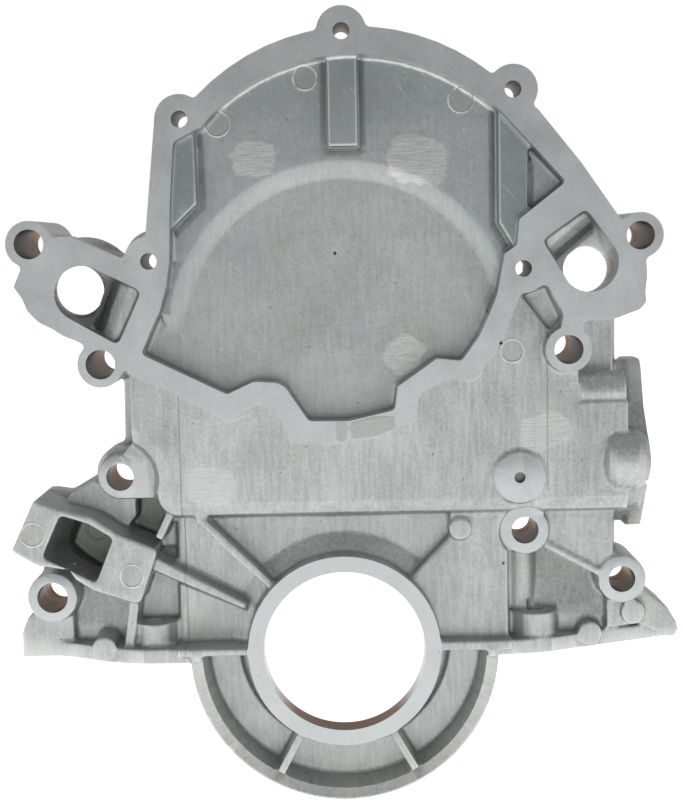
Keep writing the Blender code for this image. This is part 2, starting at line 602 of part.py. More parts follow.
def pump_chamber(hollows, trims):
    """The recess behind the pump: a high floor, and a deeper round one over the camshaft gear."""
    outline = chamber_outline()
    extrude("chamber", outline, CHAMBER_FLOOR, PUMP_FACE + CUT_PAST, hollows)
    deep = extrude("chamber_deep", outline, DOME_FLOOR, CHAMBER_FLOOR + 1, hollows)
    section = [(0.0, DOME_FLOOR - 1), (0.0, PUMP_FACE), (DOME_RADIUS + DOME_SLOPE, PUMP_FACE),
               (DOME_RADIUS + DOME_SLOPE, CHAMBER_FLOOR), (DOME_RADIUS, DOME_FLOOR), (DOME_RADIUS, DOME_FLOOR - 1)]
    dome = turned("dome_bounds", ARCH_CENTRE, section, trims)
    low = box("dome_lower", (-95, DOME_FLOOR - 2, 90), (95, PUMP_FACE + 1, 156), trims)
    combine(dome, "UNION", low)
    combine(deep, "INTERSECT", dome)
    channel = rounded([(88.2, 156.4, 1), (77.6, 152.6, 1), (89.4, 137.0, 1), (94.4, 142.3, 1)])
    extrude("arm_channel", channel, CASE_FACE - 2.5, PUMP_FACE + CUT_PAST, hollows)


def chain_cavity(hollows):
    """The open back of the casting."""
    back = BLOCK_FACE - CUT_PAST
    left = CASE_LEFT + WALL
    right = CAVITY_RIGHT
    bottom = CASE_BOTTOM + WALL
    corner = BOLTS["case_left"][0]
    bend = arc(corner, 21.0, 55, -25)
    low = [(-PAN_GAP, PAN_FACE - 3), (-PAN_GAP, 4.0), (-64.0, 12.0), (-64.0, 52.0)] + bend[::-1]
    low += [(left, 96.0), (left, 118.0), (-66.0, 136.0), (66.0, 136.0), (78.0, 117.0), (right, 107.0),
            (right, bottom), (66.0, bottom), (66.0, 12.0), (PAN_GAP, 4.0), (PAN_GAP, PAN_FACE - 3)]
    extrude("cavity", low, back, PLATE_FLOOR - WALL, hollows)
    boss("cavity_arch", ARCH_CENTRE, 2 * (ARCH_RADIUS - WALL - 1), back, DOME_FLOOR - WALL, hollows, 64)
    high = bend[::-1] + [(left, 96.0), (left, 114.0), (-68.0, 106.0), (-46.0, 95.0), (-34.0, 100.0), (-26.0, 88.0),
                         (-4.0, 85.0), (28.0, 93.0), (40.0, 108.0), (60.0, 110.0), (74.0, 112.0), (84.0, 107.0),
                         (right, 104.0), (right, bottom), (-66.0, bottom)]
    extrude("cavity_case", high, BRACKET_STEP, CASE_FACE - WALL, hollows)


def bracket_pocket(hollows):
    """The deep pocket in the middle of the bracket."""
    corners = [(-122.2, 61.0, 1.5), (-109.7, 56.9), (-99.4, 50.4, 1.5), (-107.4, 30.9, 1.5), (-115.6, 36.4),
               (-119.0, 40.2), (-130.8, 42.4, 1.5)]
    shifts = [6.5, 0.0, 0.0, 0.0, 0.0, 1.0, 8.0]
    floor = [(x + shift, *rest) for (x, *rest), shift in zip(corners, shifts)]
    loft("bracket_pocket", rounded(corners), RIB_FACE + 1, rounded(floor), FLANGE_FACE - 2, hollows)


def coolant_ports(hollows):
    """Each port starts as a long opening and slopes down to a round hole in the block face."""
    left = rounded(arc((-106.5, 156.5), 11.8, 60, 245) + [(-92.0, 134.6, 2), (-81.4, 157.2, 2)])
    right = rounded(arc((105.3, 165.7), 12.2, -135, 30) + [(103.6, 188.4, 2), (85.2, 175.6, 2)])
    for name, opening in (("left", left), ("right", right)):
        centre, hole = PORTS[name]
        throat = arc(centre, hole / 2, 0, 342)
        loft("port_" + name, opening, PUMP_FACE + 1, throat, PORT_THROAT, hollows)
        boss("port_hole_" + name, centre, hole, BLOCK_FACE - CUT_PAST, PORT_THROAT + 2, hollows, 40)


def chamber_pads(details):
    """The raised pads on the high floor of the recess."""
    pads = {
        "pad_top": [(-2.7, 254.0), (9.5, 254.0), (9.5, 215.8), (-2.7, 215.8)],
        "pad_left": [(-68.0, 220.0), (-58.7, 222.0), (-58.2, 193.1), (-70.0, 182.0)],
        "pad_right": [(68.0, 231.0), (80.5, 218.0), (80.0, 187.1), (76.0, 184.0), (76.0, 175.0), (73.1, 174.3),
                      (68.0, 182.8)],
    }
    for name, outline in pads.items():
        extrude(name, outline, CHAMBER_FLOOR - 2, PAD_FACE, details)


def drilled_holes(machining):
    """Bolt holes, tapped holes, the seal bore and the fuel pump opening."""
    for name, (centre, _, hole, face) in BOLTS.items():
        boss("hole_" + name, centre, hole, BLOCK_FACE - CUT_PAST, face + CUT_PAST, machining, 24)
    for name, centre in PUMP_TABS.items():
        boss("tap_" + name, centre, TAB_HOLE, FOOT_FACE - 4, PUMP_FACE + CUT_PAST, machining, 16)
    boss("seal_bore", (0, 0), SEAL_BORE, COLLAR_FACE - SEAL_LAND - 1, COLLAR_FACE + CUT_PAST, machining, 64)
    slinger_back = PLATE_FLOOR - WALL - 2
    boss("slinger_bore", (0, 0), SLINGER_BORE, slinger_back, COLLAR_FACE - SEAL_LAND, machining, 64)
    boss("gauge_hole", (76.5, 74.4), 4.8, CASE_FACE - 3, DISC_FACE + CUT_PAST, machining, 12)
    (low, foot), (high, head) = FUEL_WINDOW
    window = rounded([(low, foot, 12), (low, head, 12), (high, head, 12), (high, foot, 12)])
    extrude("fuel_window", window, CAVITY_RIGHT - 6, FUEL_FACE + CUT_PAST, machining, axis="X")
    for depth, height in FUEL_BOLTS:
        start = (FUEL_FACE - FUEL_TAP_DEPTH, depth, height)
        round_bar("fuel_tap", start, (FUEL_FACE + CUT_PAST, depth, height), FUEL_TAP / 2, machining, segments=16)
    for x, depth, _, top in PAN_PADS:
        start = (x, depth, PAN_FACE - CUT_PAST)
        round_bar("pan_tap", start, (x, depth, top + CUT_PAST), PAN_TAP / 2, machining, segments=16)


def milled_faces(machining):
    """The flat faces cut after casting: block, pump, oil pan, fuel pump and one spot face."""
    reach = ORIGIN_HEIGHT
    high = 2 * ORIGIN_HEIGHT
    box("mill_block", (-reach, BLOCK_FACE - PUMP_FACE, -reach), (reach, BLOCK_FACE, high), machining)
    box("mill_pump", (-reach, PUMP_FACE, -reach), (reach, 2 * PUMP_FACE, high), machining)
    edge = SKIRT_RADIUS + 0.2
    box("mill_pan_left", (-reach, -5, PAN_FACE - 20), (-edge, 60, PAN_FACE), machining)
    box("mill_pan_right", (edge, -5, PAN_FACE - 20), (reach, 60, PAN_FACE), machining)
    box("mill_fuel", (FUEL_FACE, -5, 40), (FUEL_FACE + 2 * CUT_PAST, 45, 130), machining)
    centre, diameter, _, face = BOLTS["case_right"]
    boss("spot_face", centre, diameter + 2, face, PUMP_FACE + CUT_PAST, machining)


def cast_aluminium():
    material = bpy.data.materials.new("die_cast_aluminium")
    material.use_nodes = True
    shader = material.node_tree.nodes["Principled BSDF"]
    shader.inputs["Base Color"].default_value = (0.47, 0.48, 0.48, 1)
    shader.inputs["Metallic"].default_value = 1.0
    shader.inputs["Roughness"].default_value = 0.45
    return material


def build():
    clear_scene()
    parts = new_collection(NAME)
    forms = new_collection("forms")
    hollows = new_collection("hollows")
    details = new_collection("details")
    machining = new_collection("machining")
    trims = new_collection("trims")

    rear_flange(forms)
    pump_flange(forms)
    bolt_bosses(forms)
    coolant_arms(forms)
    chain_case(forms, trims)
    lower_plate(forms)
    pan_skirt(forms, trims)
    pan_rail(forms)
    corner_feet(forms)
    corner_floors(forms)
    timing_bracket(forms)
    front_ribs(forms)
    fuel_pump_pad(forms)
    collar = seal_collar(forms, trims)

    pump_chamber(hollows, trims)
    chain_cavity(hollows)
    bracket_pocket(hollows)
    coolant_ports(hollows)
    tab_reliefs(hollows)

    chamber_pads(details)
    drilled_holes(machining)
    milled_faces(machining)

    forms.objects.unlink(collar)
    parts.objects.link(collar)
    casting = collar
    casting.name = NAME
    casting.hide_render = False
    casting.display_type = "TEXTURED"
    combine(casting, "UNION", forms)
    combine(casting, "DIFFERENCE", hollows)
    combine(casting, "UNION", details)
    combine(casting, "DIFFERENCE", machining)
    seams = casting.modifiers.new("seams", "WELD")
    seams.merge_threshold = 0.00003
    casting.data.materials.append(cast_aluminium())
    for collection in (parts, forms, hollows, details, machining, trims):
        for obj in collection.objects:
            obj.data.transform(Matrix.Translation((0, 0, -ORIGIN_HEIGHT * MM)))


build()
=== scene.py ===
import math

import bmesh
import bpy
import numpy as np
from mathutils import Matrix, Vector


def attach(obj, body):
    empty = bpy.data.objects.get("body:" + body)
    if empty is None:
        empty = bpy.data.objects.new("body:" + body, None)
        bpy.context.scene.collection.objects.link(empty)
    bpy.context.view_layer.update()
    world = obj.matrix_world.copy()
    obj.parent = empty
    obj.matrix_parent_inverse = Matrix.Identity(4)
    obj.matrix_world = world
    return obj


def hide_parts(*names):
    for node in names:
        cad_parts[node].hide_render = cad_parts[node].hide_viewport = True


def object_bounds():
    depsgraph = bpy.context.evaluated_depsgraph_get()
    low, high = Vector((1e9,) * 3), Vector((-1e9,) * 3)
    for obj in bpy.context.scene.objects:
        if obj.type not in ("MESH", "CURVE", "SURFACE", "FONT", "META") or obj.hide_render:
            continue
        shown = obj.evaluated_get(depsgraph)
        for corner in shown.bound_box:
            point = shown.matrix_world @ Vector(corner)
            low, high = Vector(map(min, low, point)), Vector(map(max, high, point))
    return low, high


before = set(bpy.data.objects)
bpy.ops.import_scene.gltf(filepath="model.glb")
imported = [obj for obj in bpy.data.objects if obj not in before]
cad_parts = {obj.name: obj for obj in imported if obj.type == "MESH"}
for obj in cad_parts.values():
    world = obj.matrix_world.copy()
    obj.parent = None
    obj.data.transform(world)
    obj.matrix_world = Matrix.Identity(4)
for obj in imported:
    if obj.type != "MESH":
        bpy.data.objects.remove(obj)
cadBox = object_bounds()

mm = 0.001
crankBelowOrigin = 211.0  # mm from the frame's origin down to the crank axis


def place(x, depth, z):
    # x and z from the crank axis, depth in front of the block face, all in mm
    return Vector((x * mm, -depth * mm, (z - crankBelowOrigin) * mm))


def hexToLinear(code):
    channels = [int(code[i:i + 2], 16) / 255 for i in (1, 3, 5)]
    return tuple(c / 12.92 if c <= 0.04045 else ((c + 0.055) / 1.055) ** 2.4 for c in channels) + (1.0,)


print("cast cover: solid with its milling allowance")

castCover = {
    "voxel": 0.5,          # mm, how fine the cast skin is
    "fillet": 0.9,         # mm, radius in the inside corners
    "smoothing": 2,        # passes that round the outer edges
    "allowance": 2.0,      # mm of metal that the milling takes off
    "triangles": 176000,
    "domeCentre": (2.0, 136.0),
    "domeSlope": (66.0, 75.0),     # mm, where the recess steps down from its high floor
    "domeDepths": (37.0, 40.0),
    "moatWidth": 4.0,      # mm, the soft ditch around each pad
    "moatDepth": 1.1,
}

# bolt holes: place, diameter, depth of the face, diameter of the boss
boltHoles = [
    ((-128.4, 177.6), 12.4, 50.0, 19.6), ((-100.3, 126.8), 12.4, 50.0, 19.4), ((96.6, 129.4), 12.2, 50.0, 19.4),
    ((126.6, 176.6), 11.8, 50.0, 19.2), ((-96.7, 75.9), 12.0, 31.0, 19.4), ((79.8, 49.4), 11.8, 33.0, 21.2),
    ((122.6, 26.4), 11.6, 31.0, 21.2), ((-128.3, 22.7), 13.4, 31.0, 22.0),
]
pumpTaps = [(3.4, 262.3), (-64.1, 227.8), (73.8, 237.4), (-78.7, 169.6), (77.8, 163.7)]
fuelTaps = [(12.5, 111.5), (12.5, 57.0)]             # depth, z
panTaps = [(-83.1, 28.5, 11.2), (85.0, 23.5, 12.1)]  # x, depth, z of the blind end
tapDrill, panDrill, sealBore = 6.9, 7.4, 70.0        # mm across
coreMargin = 0.8                                     # mm that a core stands outside its hole
gaugeDisc = ((76.5, 74.4), 22.4, 43.5, 4.8)          # place, diameter, depth of the face, diameter of the hole
# coolant ports: middle of the round hole, middle of the far edge, radius of the hole
ports = [((-115.6, 157.0), (-86.7, 145.9), 11.2), ((110.9, 162.0), (94.4, 182.0), 10.4)]
levels = {"block": 0.0, "pump": 50.0, "collar": 45.0, "pan": -5.0, "fuel": 133.0}
chamberArc = ((7.5, 166.6), 86.3)
padOutlines = [
    [(-2.7, 254.0), (9.5, 254.0), (9.5, 215.8), (-2.7, 215.8)],
    [(-68.0, 220.0), (-58.7, 222.0), (-58.2, 193.1), (-70.0, 182.0)],
    [(68.0, 231.0), (80.5, 218.0), (80.0, 187.1), (76.0, 184.0), (76.0, 175.0), (73.1, 174.3), (68.0, 182.8)],
]


def roundBar(start, end, radius, segments=48):
    a, b = place(*start), place(*end)
    shape = bmesh.new()
    bmesh.ops.create_cone(shape, cap_ends=True, segments=segments, radius1=radius * mm, radius2=radius * mm,
                          depth=(b - a).length)
    turn = Vector((0, 0, 1)).rotation_difference(b - a).to_matrix().to_4x4()
    bmesh.ops.transform(shape, matrix=Matrix.Translation((a + b) / 2) @ turn, verts=shape.verts)
    return shape


def block(low, high):
    a, b = place(*low), place(*high)
    shape = bmesh.new()
    bmesh.ops.create_cube(shape, size=1)
    bmesh.ops.scale(shape, vec=[abs(q - p) for p, q in zip(a, b)], verts=shape.verts)
    bmesh.ops.translate(shape, vec=(a + b) / 2, verts=shape.verts)
    return shape


def turnedWedge(profile, start, end, steps=96):
    # a closed outline of radius and depth, turned about the crank axis between two angles
    shape = bmesh.new()
    rows = []
    for i in range(steps + 1):
        angle = math.radians(start + (end - start) * i / steps)
        rows.append([shape.verts.new(place(radius * math.cos(angle), depth, radius * math.sin(angle)))
                     for radius, depth in profile])
    count = len(profile)
    for row, following in zip(rows, rows[1:]):
        for i in range(count):
            shape.faces.new((row[i], row[(i + 1) % count], following[(i + 1) % count], following[i]))
    shape.faces.new(rows[0][::-1])
    shape.faces.new(rows[-1])
    bmesh.ops.recalc_face_normals(shape, faces=shape.faces)
    return shape


def portRamp(hole, farEdge, radius):
    # the floor of a port: nearly level with the flange at its far edge, it dips steeply into the hole
    centre, far = Vector(hole), Vector(farEdge)
    along = (far - centre).normalized()
    across = Vector((-along.y, along.x))
    lip, reach = radius + 0.4, (far - centre).length + 2.0
    rise = [(0.0, 6.0), (0.04, 20.0), (0.12, 30.0), (0.25, 37.5), (0.44, 43.0), (0.67, 46.4), (1.0, 48.4), (1.0, 6.0)]
    shape = bmesh.new()
    sides = []
    for side in (-radius - 1.8, radius + 1.8):
        spots = [(centre + along * (lip + share * (reach - lip)) + across * side, depth) for share, depth in rise]
        sides.append([shape.verts.new(place(spot.x, depth, spot.y)) for spot, depth in spots])
    first, second = sides
    for i in range(len(rise)):
        j = (i + 1) % len(rise)
        shape.faces.new((first[i], first[j], second[j], second[i]))
    shape.faces.new(first[::-1])
    shape.faces.new(second)
    bmesh.ops.recalc_face_normals(shape, faces=shape.faces)
    return shape


def asObject(shape, name):
    mesh = bpy.data.meshes.new(name)
    shape.to_mesh(mesh)
    shape.free()
    obj = bpy.data.objects.new(name, mesh)
    bpy.context.scene.collection.objects.link(obj)
    return obj


def settle(obj):
    # leaves the result of the modifiers as the object's own mesh
    graph = bpy.context.evaluated_depsgraph_get()
    mesh = bpy.data.meshes.new_from_object(obj.evaluated_get(graph))
    old = obj.data
    obj.modifiers.clear()
    obj.data = mesh
    bpy.data.meshes.remove(old)
    return obj


def remesh(obj, voxel):
    step = obj.modifiers.new("skin", "REMESH")
    step.mode = "VOXEL"
    step.voxel_size = voxel * mm
    return settle(obj)


def swell(obj, distance):
    step = obj.modifiers.new("swell", "DISPLACE")
    step.strength = distance * mm
    step.mid_level = 0.0
    return settle(obj)


def relax(obj, passes, factor=0.5):
    step = obj.modifiers.new("relax", "SMOOTH")
    step.iterations = passes
    step.factor = factor
    return settle(obj)


def boolean(obj, operation, other):
    step = obj.modifiers.new("cut", "BOOLEAN")
    step.operation = operation
    step.solver = "MANIFOLD"
    step.object = other
    settle(obj)
    bpy.data.objects.remove(other, do_unlink=True)
    return obj


def joined(shapes, name):
    whole = bmesh.new()
    for shape in shapes:
        mesh = bpy.data.meshes.new("part")
        shape.to_mesh(mesh)
        shape.free()
        whole.from_mesh(mesh)
        bpy.data.meshes.remove(mesh)
    return asObject(whole, name)


def grownFaces(shape, axis, level, way, distance):
    # pulls the flat faces at one level outwards, so that there is metal for the milling to take off
    faces = [f for f in shape.faces
             if abs(f.normal[axis] - way) < 0.001 and all(abs(v.co[axis] - level) < 0.00002 for v in f.verts)]
    grown = bmesh.ops.extrude_face_region(shape, geom=faces)["geom"]
    move = Vector((0, 0, 0))
    move[axis] = way * distance * mm
    bmesh.ops.translate(shape, vec=move, verts=[g for g in grown if isinstance(g, bmesh.types.BMVert)])


def measuredPoints(mesh):
    points = np.zeros(len(mesh.vertices) * 3)
    mesh.vertices.foreach_get("co", points)
    points = points.reshape(-1, 3) / mm
    return points[:, 0], -points[:, 1], points[:, 2] + crankBelowOrigin


def smoothStep(value, low, high):
    share = np.clip((value - low) / (high - low), 0, 1)
    return share * share * (3 - 2 * share)


def awayFromOutline(x, z, outline):
    away = np.full(len(x), 1e9)
    for (ax, az), (bx, bz) in zip(outline, outline[1:] + outline[:1]):
        run, rise = bx - ax, bz - az
        share = np.clip(((x - ax) * run + (z - az) * rise) / (run * run + rise * rise), 0, 1)
        away = np.minimum(away, np.hypot(x - ax - share * run, z - az - share * rise))
    return away


shape = bmesh.new()
shape.from_mesh(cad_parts["timing_cover"].data)
bmesh.ops.remove_doubles(shape, verts=shape.verts, dist=0.000002)
allowance = castCover["allowance"]
grownFaces(shape, 1, -levels["pump"] * mm, -1, allowance)
grownFaces(shape, 1, -levels["collar"] * mm, -1, allowance)
grownFaces(shape, 1, 0.0, 1, allowance)
grownFaces(shape, 2, (levels["pan"] - crankBelowOrigin) * mm, -1, allowance)
grownFaces(shape, 0, levels["fuel"] * mm, 1, allowance)

# the holes are cored solid and drilled after the skin is made, so that their edges stay sharp
cores = []
for (x, z), diameter, face, boss in boltHoles:
    top = face + allowance if face == levels["pump"] else face
    cores.append(roundBar((x, -allowance, z), (x, top, z), diameter / 2 + coreMargin))
for x, z in pumpTaps:
    cores.append(roundBar((x, 21.0, z), (x, levels["pump"] + allowance, z), tapDrill / 2 + coreMargin))
for depth, z in fuelTaps:
    cores.append(roundBar((116.5, depth, z), (levels["fuel"] + allowance, depth, z), tapDrill / 2 + coreMargin))
for x, depth, top in panTaps:
    cores.append(roundBar((x, depth, levels["pan"] - allowance), (x, depth, top), panDrill / 2 + coreMargin))
for port in ports:
    cores.append(portRamp(*port))
(x, z), diameter, face, hole = gaugeDisc
cores.append(roundBar((x, 38.5, z), (x, face, z), hole / 2 + coreMargin))
cores.append(roundBar((0, 34.4, 0), (0, levels["collar"] + allowance, 0), 36.2, 96))
coreObject = joined(cores, "cores")

casting = asObject(shape, "cast_cover")
whole = bmesh.new()
whole.from_mesh(casting.data)
whole.from_mesh(coreObject.data)
whole.to_mesh(casting.data)
whole.free()
bpy.data.objects.remove(coreObject, do_unlink=True)

print("cast cover: fillets and skin")
remesh(casting, castCover["voxel"])
swell(casting, castCover["fillet"])
remesh(casting, castCover["voxel"])
swell(casting, -castCover["fillet"])
remesh(casting, castCover["voxel"])
relax(casting, castCover["smoothing"])
print("  skin faces:", len(casting.data.polygons))

# the recess: a soft slope down to the round floor, and a shallow ditch around each pad
mesh = casting.data
x, depth, z = measuredPoints(mesh)
away = np.hypot(x - castCover["domeCentre"][0], z - castCover["domeCentre"][1])
low, high = castCover["domeDepths"]
slope = (away > 62.0) & (away < 78.5) & (z > 138.0) & (depth > low - 0.3) & (depth < high + 0.35)
slope &= np.hypot(x - chamberArc[0][0], z - chamberArc[0][1]) < chamberArc[1] - 1.0
rise = smoothStep(away[slope], *castCover["domeSlope"]) * smoothStep(z[slope], 138.0, 160.0)
depth[slope] = low + (high - low) * rise
for outline in padOutlines:
    edge = awayFromOutline(x, z, outline)
    ditch = (edge < castCover["moatWidth"]) & (depth > 36.0) & (depth < high + 0.35)
    ditch &= np.hypot(x - chamberArc[0][0], z - chamberArc[0][1]) < chamberArc[1] - 0.3
    depth[ditch] -= castCover["moatDepth"] * (1 - smoothStep(edge[ditch], 0.5, castCover["moatWidth"]))
points = np.stack((x, -depth, z - crankBelowOrigin), 1) * mm
mesh.vertices.foreach_set("co", points.ravel())
mesh.update()

thin = casting.modifiers.new("thin", "DECIMATE")
thin.ratio = min(1.0, castCover["triangles"] / (2 * len(casting.data.polygons)))
settle(casting)
print("  after thinning:", len(casting.data.polygons))

print("cast cover: machining")
reach = 200
cuts = [
    block((-reach, -30, -reach), (reach, levels["block"], 300)),
    block((-reach, levels["pump"], -reach), (reach, 90, 300)),
    block((-reach, -8, levels["pan"] - 20), (-66.6, 60, levels["pan"])),
    block((66.6, -8, levels["pan"] - 20), (reach, 60, levels["pan"])),
    block((levels["fuel"], -5, 40), (levels["fuel"] + 10, 45, 130)),
    roundBar((0, levels["collar"], 0), (0, levels["collar"] + 10, 0), 44, 96),
]
for (x, z), diameter, face, boss in boltHoles:
    if face < levels["pump"]:
        cuts.append(roundBar((x, face - 0.1, z), (x, face + 0.6, z), boss / 2 + 0.4))
# the skirt's rim slopes down to its seal groove
rimSlope = [(61.0, 41.9), (61.0, 47.0), (68.2, 47.0), (68.2, 45.6)]
cuts.append(turnedWedge(rimSlope, -177.0, -3.0))
(x, z), diameter, face, hole = gaugeDisc
cuts.append(roundBar((x, face - 0.1, z), (x, face + 3, z), diameter / 2 + 0.4))
for cut in cuts:
    boolean(casting, "DIFFERENCE", asObject(cut, "cutter"))
drills = []
for (x, z), diameter, face, boss in boltHoles:
    drills.append(roundBar((x, -4, z), (x, face + 8, z), diameter / 2))
for x, z in pumpTaps:
    drills.append(roundBar((x, 21.0, z), (x, levels["pump"] + 4, z), tapDrill / 2, 32))
for depth, z in fuelTaps:
    drills.append(roundBar((117.0, depth, z), (levels["fuel"] + 4, depth, z), tapDrill / 2, 32))
for x, depth, top in panTaps:
    drills.append(roundBar((x, depth, levels["pan"] - 4), (x, depth, top + 4), panDrill / 2, 32))
(x, z), diameter, face, hole = gaugeDisc
drills.append(roundBar((x, 39.0, z), (x, face + 4, z), hole / 2, 32))
drills.append(roundBar((0, 20, 0), (0, levels["collar"] + 4, 0), sealBore / 2, 128))
for drill in drills:
    boolean(casting, "DIFFERENCE", asObject(drill, "drill"))
print("  faces:", len(casting.data.polygons))

print("materials")


def addNode(tree, kind, inputs=None, **settings):
    # each input is a value, a socket, or a node whose first live output is taken
    node = tree.nodes.new(kind)
    for name, value in settings.items():
        setattr(node, name, value)
    for name, value in (inputs or {}).items():
        if isinstance(value, bpy.types.Node):
            value = next(out for out in value.outputs if out.enabled)
        if isinstance(value, bpy.types.NodeSocket):
            tree.links.new(value, node.inputs[name])
        else:
            node.inputs[name].default_value = value
    return node


def newMaterial(name, metallic, roughness):
    material = bpy.data.materials.new(name)
    material.use_nodes = True
    shader = material.node_tree.nodes["Principled BSDF"]
    shader.inputs["Metallic"].default_value = metallic
    shader.inputs["Roughness"].default_value = roughness
    return material, material.node_tree, shader


def measuredSpot(tree):
    # the place on the cover in mm: x, depth in front of the block face, z from the crank axis
    spot = addNode(tree, "ShaderNodeTexCoord").outputs["Object"]
    spot = addNode(tree, "ShaderNodeVectorMath", {0: spot, 1: (1000, -1000, 1000), 2: (0, 0, crankBelowOrigin)},
                   operation="MULTIPLY_ADD")
    return spot.outputs["Vector"]


def outsideDiscs(tree, spot, discs):
    # mm outside the edge of the nearest disc, below zero inside it
    nearest = None
    squeeze = (1, 0.3, 1)  # a disc is a mark on a face, whose depth may be a little off
    flat = addNode(tree, "ShaderNodeVectorMath", {0: spot, 1: squeeze}, operation="MULTIPLY")
    for x, depth, z, radius in discs:
        away = addNode(tree, "ShaderNodeVectorMath", {0: flat, 1: (x, depth * squeeze[1], z)}, operation="DISTANCE")
        edge = addNode(tree, "ShaderNodeMath", {0: away, 1: radius}, operation="SUBTRACT")
        if nearest:
            edge = addNode(tree, "ShaderNodeMath", {0: nearest, 1: edge}, operation="MINIMUM")
        nearest = edge
    return nearest


def insidePatches(tree, spot, patches, ragged, halfDepth=5.0):
    # 1 inside the ragged patches, 0 outside
    total = None
    for x, depth, z, halfWidth, halfHeight, turn in patches:
        local = addNode(tree, "ShaderNodeMapping",
                        {"Vector": spot, "Location": (x, depth, z), "Rotation": (0, math.radians(turn), 0),
                         "Scale": (halfWidth, halfDepth, halfHeight)}, vector_type="TEXTURE")
        away = addNode(tree, "ShaderNodeVectorMath", {0: local}, operation="LENGTH")
        sides = addNode(tree, "ShaderNodeVectorMath", {0: local}, operation="ABSOLUTE")
        sides = addNode(tree, "ShaderNodeSeparateXYZ", {0: sides})
        outer = addNode(tree, "ShaderNodeMath", {0: sides.outputs["X"], 1: sides.outputs["Z"]}, operation="MAXIMUM")
        outer = addNode(tree, "ShaderNodeMath", {0: outer, 1: away}, operation="ADD")
        outer = addNode(tree, "ShaderNodeMath", {0: outer, 1: ragged}, operation="ADD")
        inside = addNode(tree, "ShaderNodeMapRange",
                         {"Value": outer, "From Min": 1.9, "From Max": 2.2, "To Min": 1.0, "To Max": 0.0})
        if total:
            inside = addNode(tree, "ShaderNodeMath", {0: total, 1: inside}, operation="MAXIMUM")
        total = inside
    return total


def upToLine(tree, spot, lines):
    # mm to the nearest upright line on the front of the casting
    nearest = None
    for x, low, high in lines:
        halfHeight = (high - low) / 2
        local = addNode(tree, "ShaderNodeVectorMath", {0: spot, 1: (x, 39.0, low + halfHeight)}, operation="SUBTRACT")
        local = addNode(tree, "ShaderNodeVectorMath", {0: local}, operation="ABSOLUTE")
        local = addNode(tree, "ShaderNodeVectorMath", {0: local, 1: (0, 12.0, halfHeight)}, operation="SUBTRACT")
        local = addNode(tree, "ShaderNodeVectorMath", {0: local, 1: (0, 0, 0)}, operation="MAXIMUM")
        away = addNode(tree, "ShaderNodeVectorMath", {0: local}, operation="LENGTH")
        if nearest:
            away = addNode(tree, "ShaderNodeMath", {0: nearest, 1: away}, operation="MINIMUM")
        nearest = away
    return nearest


# round ejector marks: x, depth, z, radius
ejectorMarks = [
    (-12.0, 40.0, 244.6, 5.0), (-49.3, 40.0, 226.3, 5.2), (53.2, 40.0, 234.5, 5.4), (73.8, 42.0, 128.8, 4.9),
    (-134.0, 40.0, 52.8, 5.2), (-91.6, 40.0, 33.8, 5.0), (-111.0, 9.0, 49.0, 5.0),
]
# places dressed with a grinder: x, depth, z, half width, half height, turn in degrees
dressedPatches = [
    (-34.5, 40.0, 211.9, 9.0, 7.0, 4.0), (34.5, 40.0, 209.9, 12.4, 10.0, 12.0), (28.1, 37.0, 128.0, 8.4, 7.6, -50.0),
    (-56.4, 42.0, 73.5, 10.4, 8.2, 6.0), (87.5, 42.0, 94.6, 10.4, 7.4, -16.0),
]
# where the halves of the die meet: x, lowest z, highest z
partingLines = [(88.5, 68.6, 136.0), (-69.0, -0.6, 112.6)]
# open pinholes: x, depth, z, radius
pinholes = [(68.9, 42.0, 132.2, 0.7), (69.9, 36.0, 35.7, 0.6), (-0.9, 37.0, 171.5, 0.7)]

# pockets darkened with painted shade, and brown heat stains: x, depth, z, half width, half height, turn in degrees
shadedPockets = [(-110.0, 10.0, 47.0, 15.0, 15.0, 0.0), (-86.0, 9.0, 56.0, 7.0, 9.0, 0.0)]
brownStains = [(-98.0, 22.0, 171.5, 11.0, 5.0, 24.0), (124.0, 24.0, 158.0, 5.0, 14.0, 0.0)]
# painted shade on the floor of the left port, darkest at its hole
shadedPort = {"hole": (-115.6, 0.0, 157.0), "radius": 11.2, "reach": 20.5}  # mm

castSkin = {
    # the colour of the painted shade in the pockets
    "pocketShade": "#5C5D59",
    "poreSpacing": 11.0,   # mm between the pores where the skin has broken
    "metallic": 0.85,      # the oxide skin takes some of the mirror away
    "roughness": (0.36, 0.54),
    "cornerReach": 1.1,    # mm, how far the corner darkening, partly dust and partly painted shade, spreads out of a corner
    "cornerDirtAndShade": 0.22,
    "creaseDirtAndShade": 0.4,
    "edgeWearAndHighlight": 0.9,       # how bright the outer edges are, partly wear and partly painted highlight
    "tint": "#B5ABA2",     # faint brown heat stain
    "dressed": "#CFD1CF",
    "line": "#6B6C6A",
}


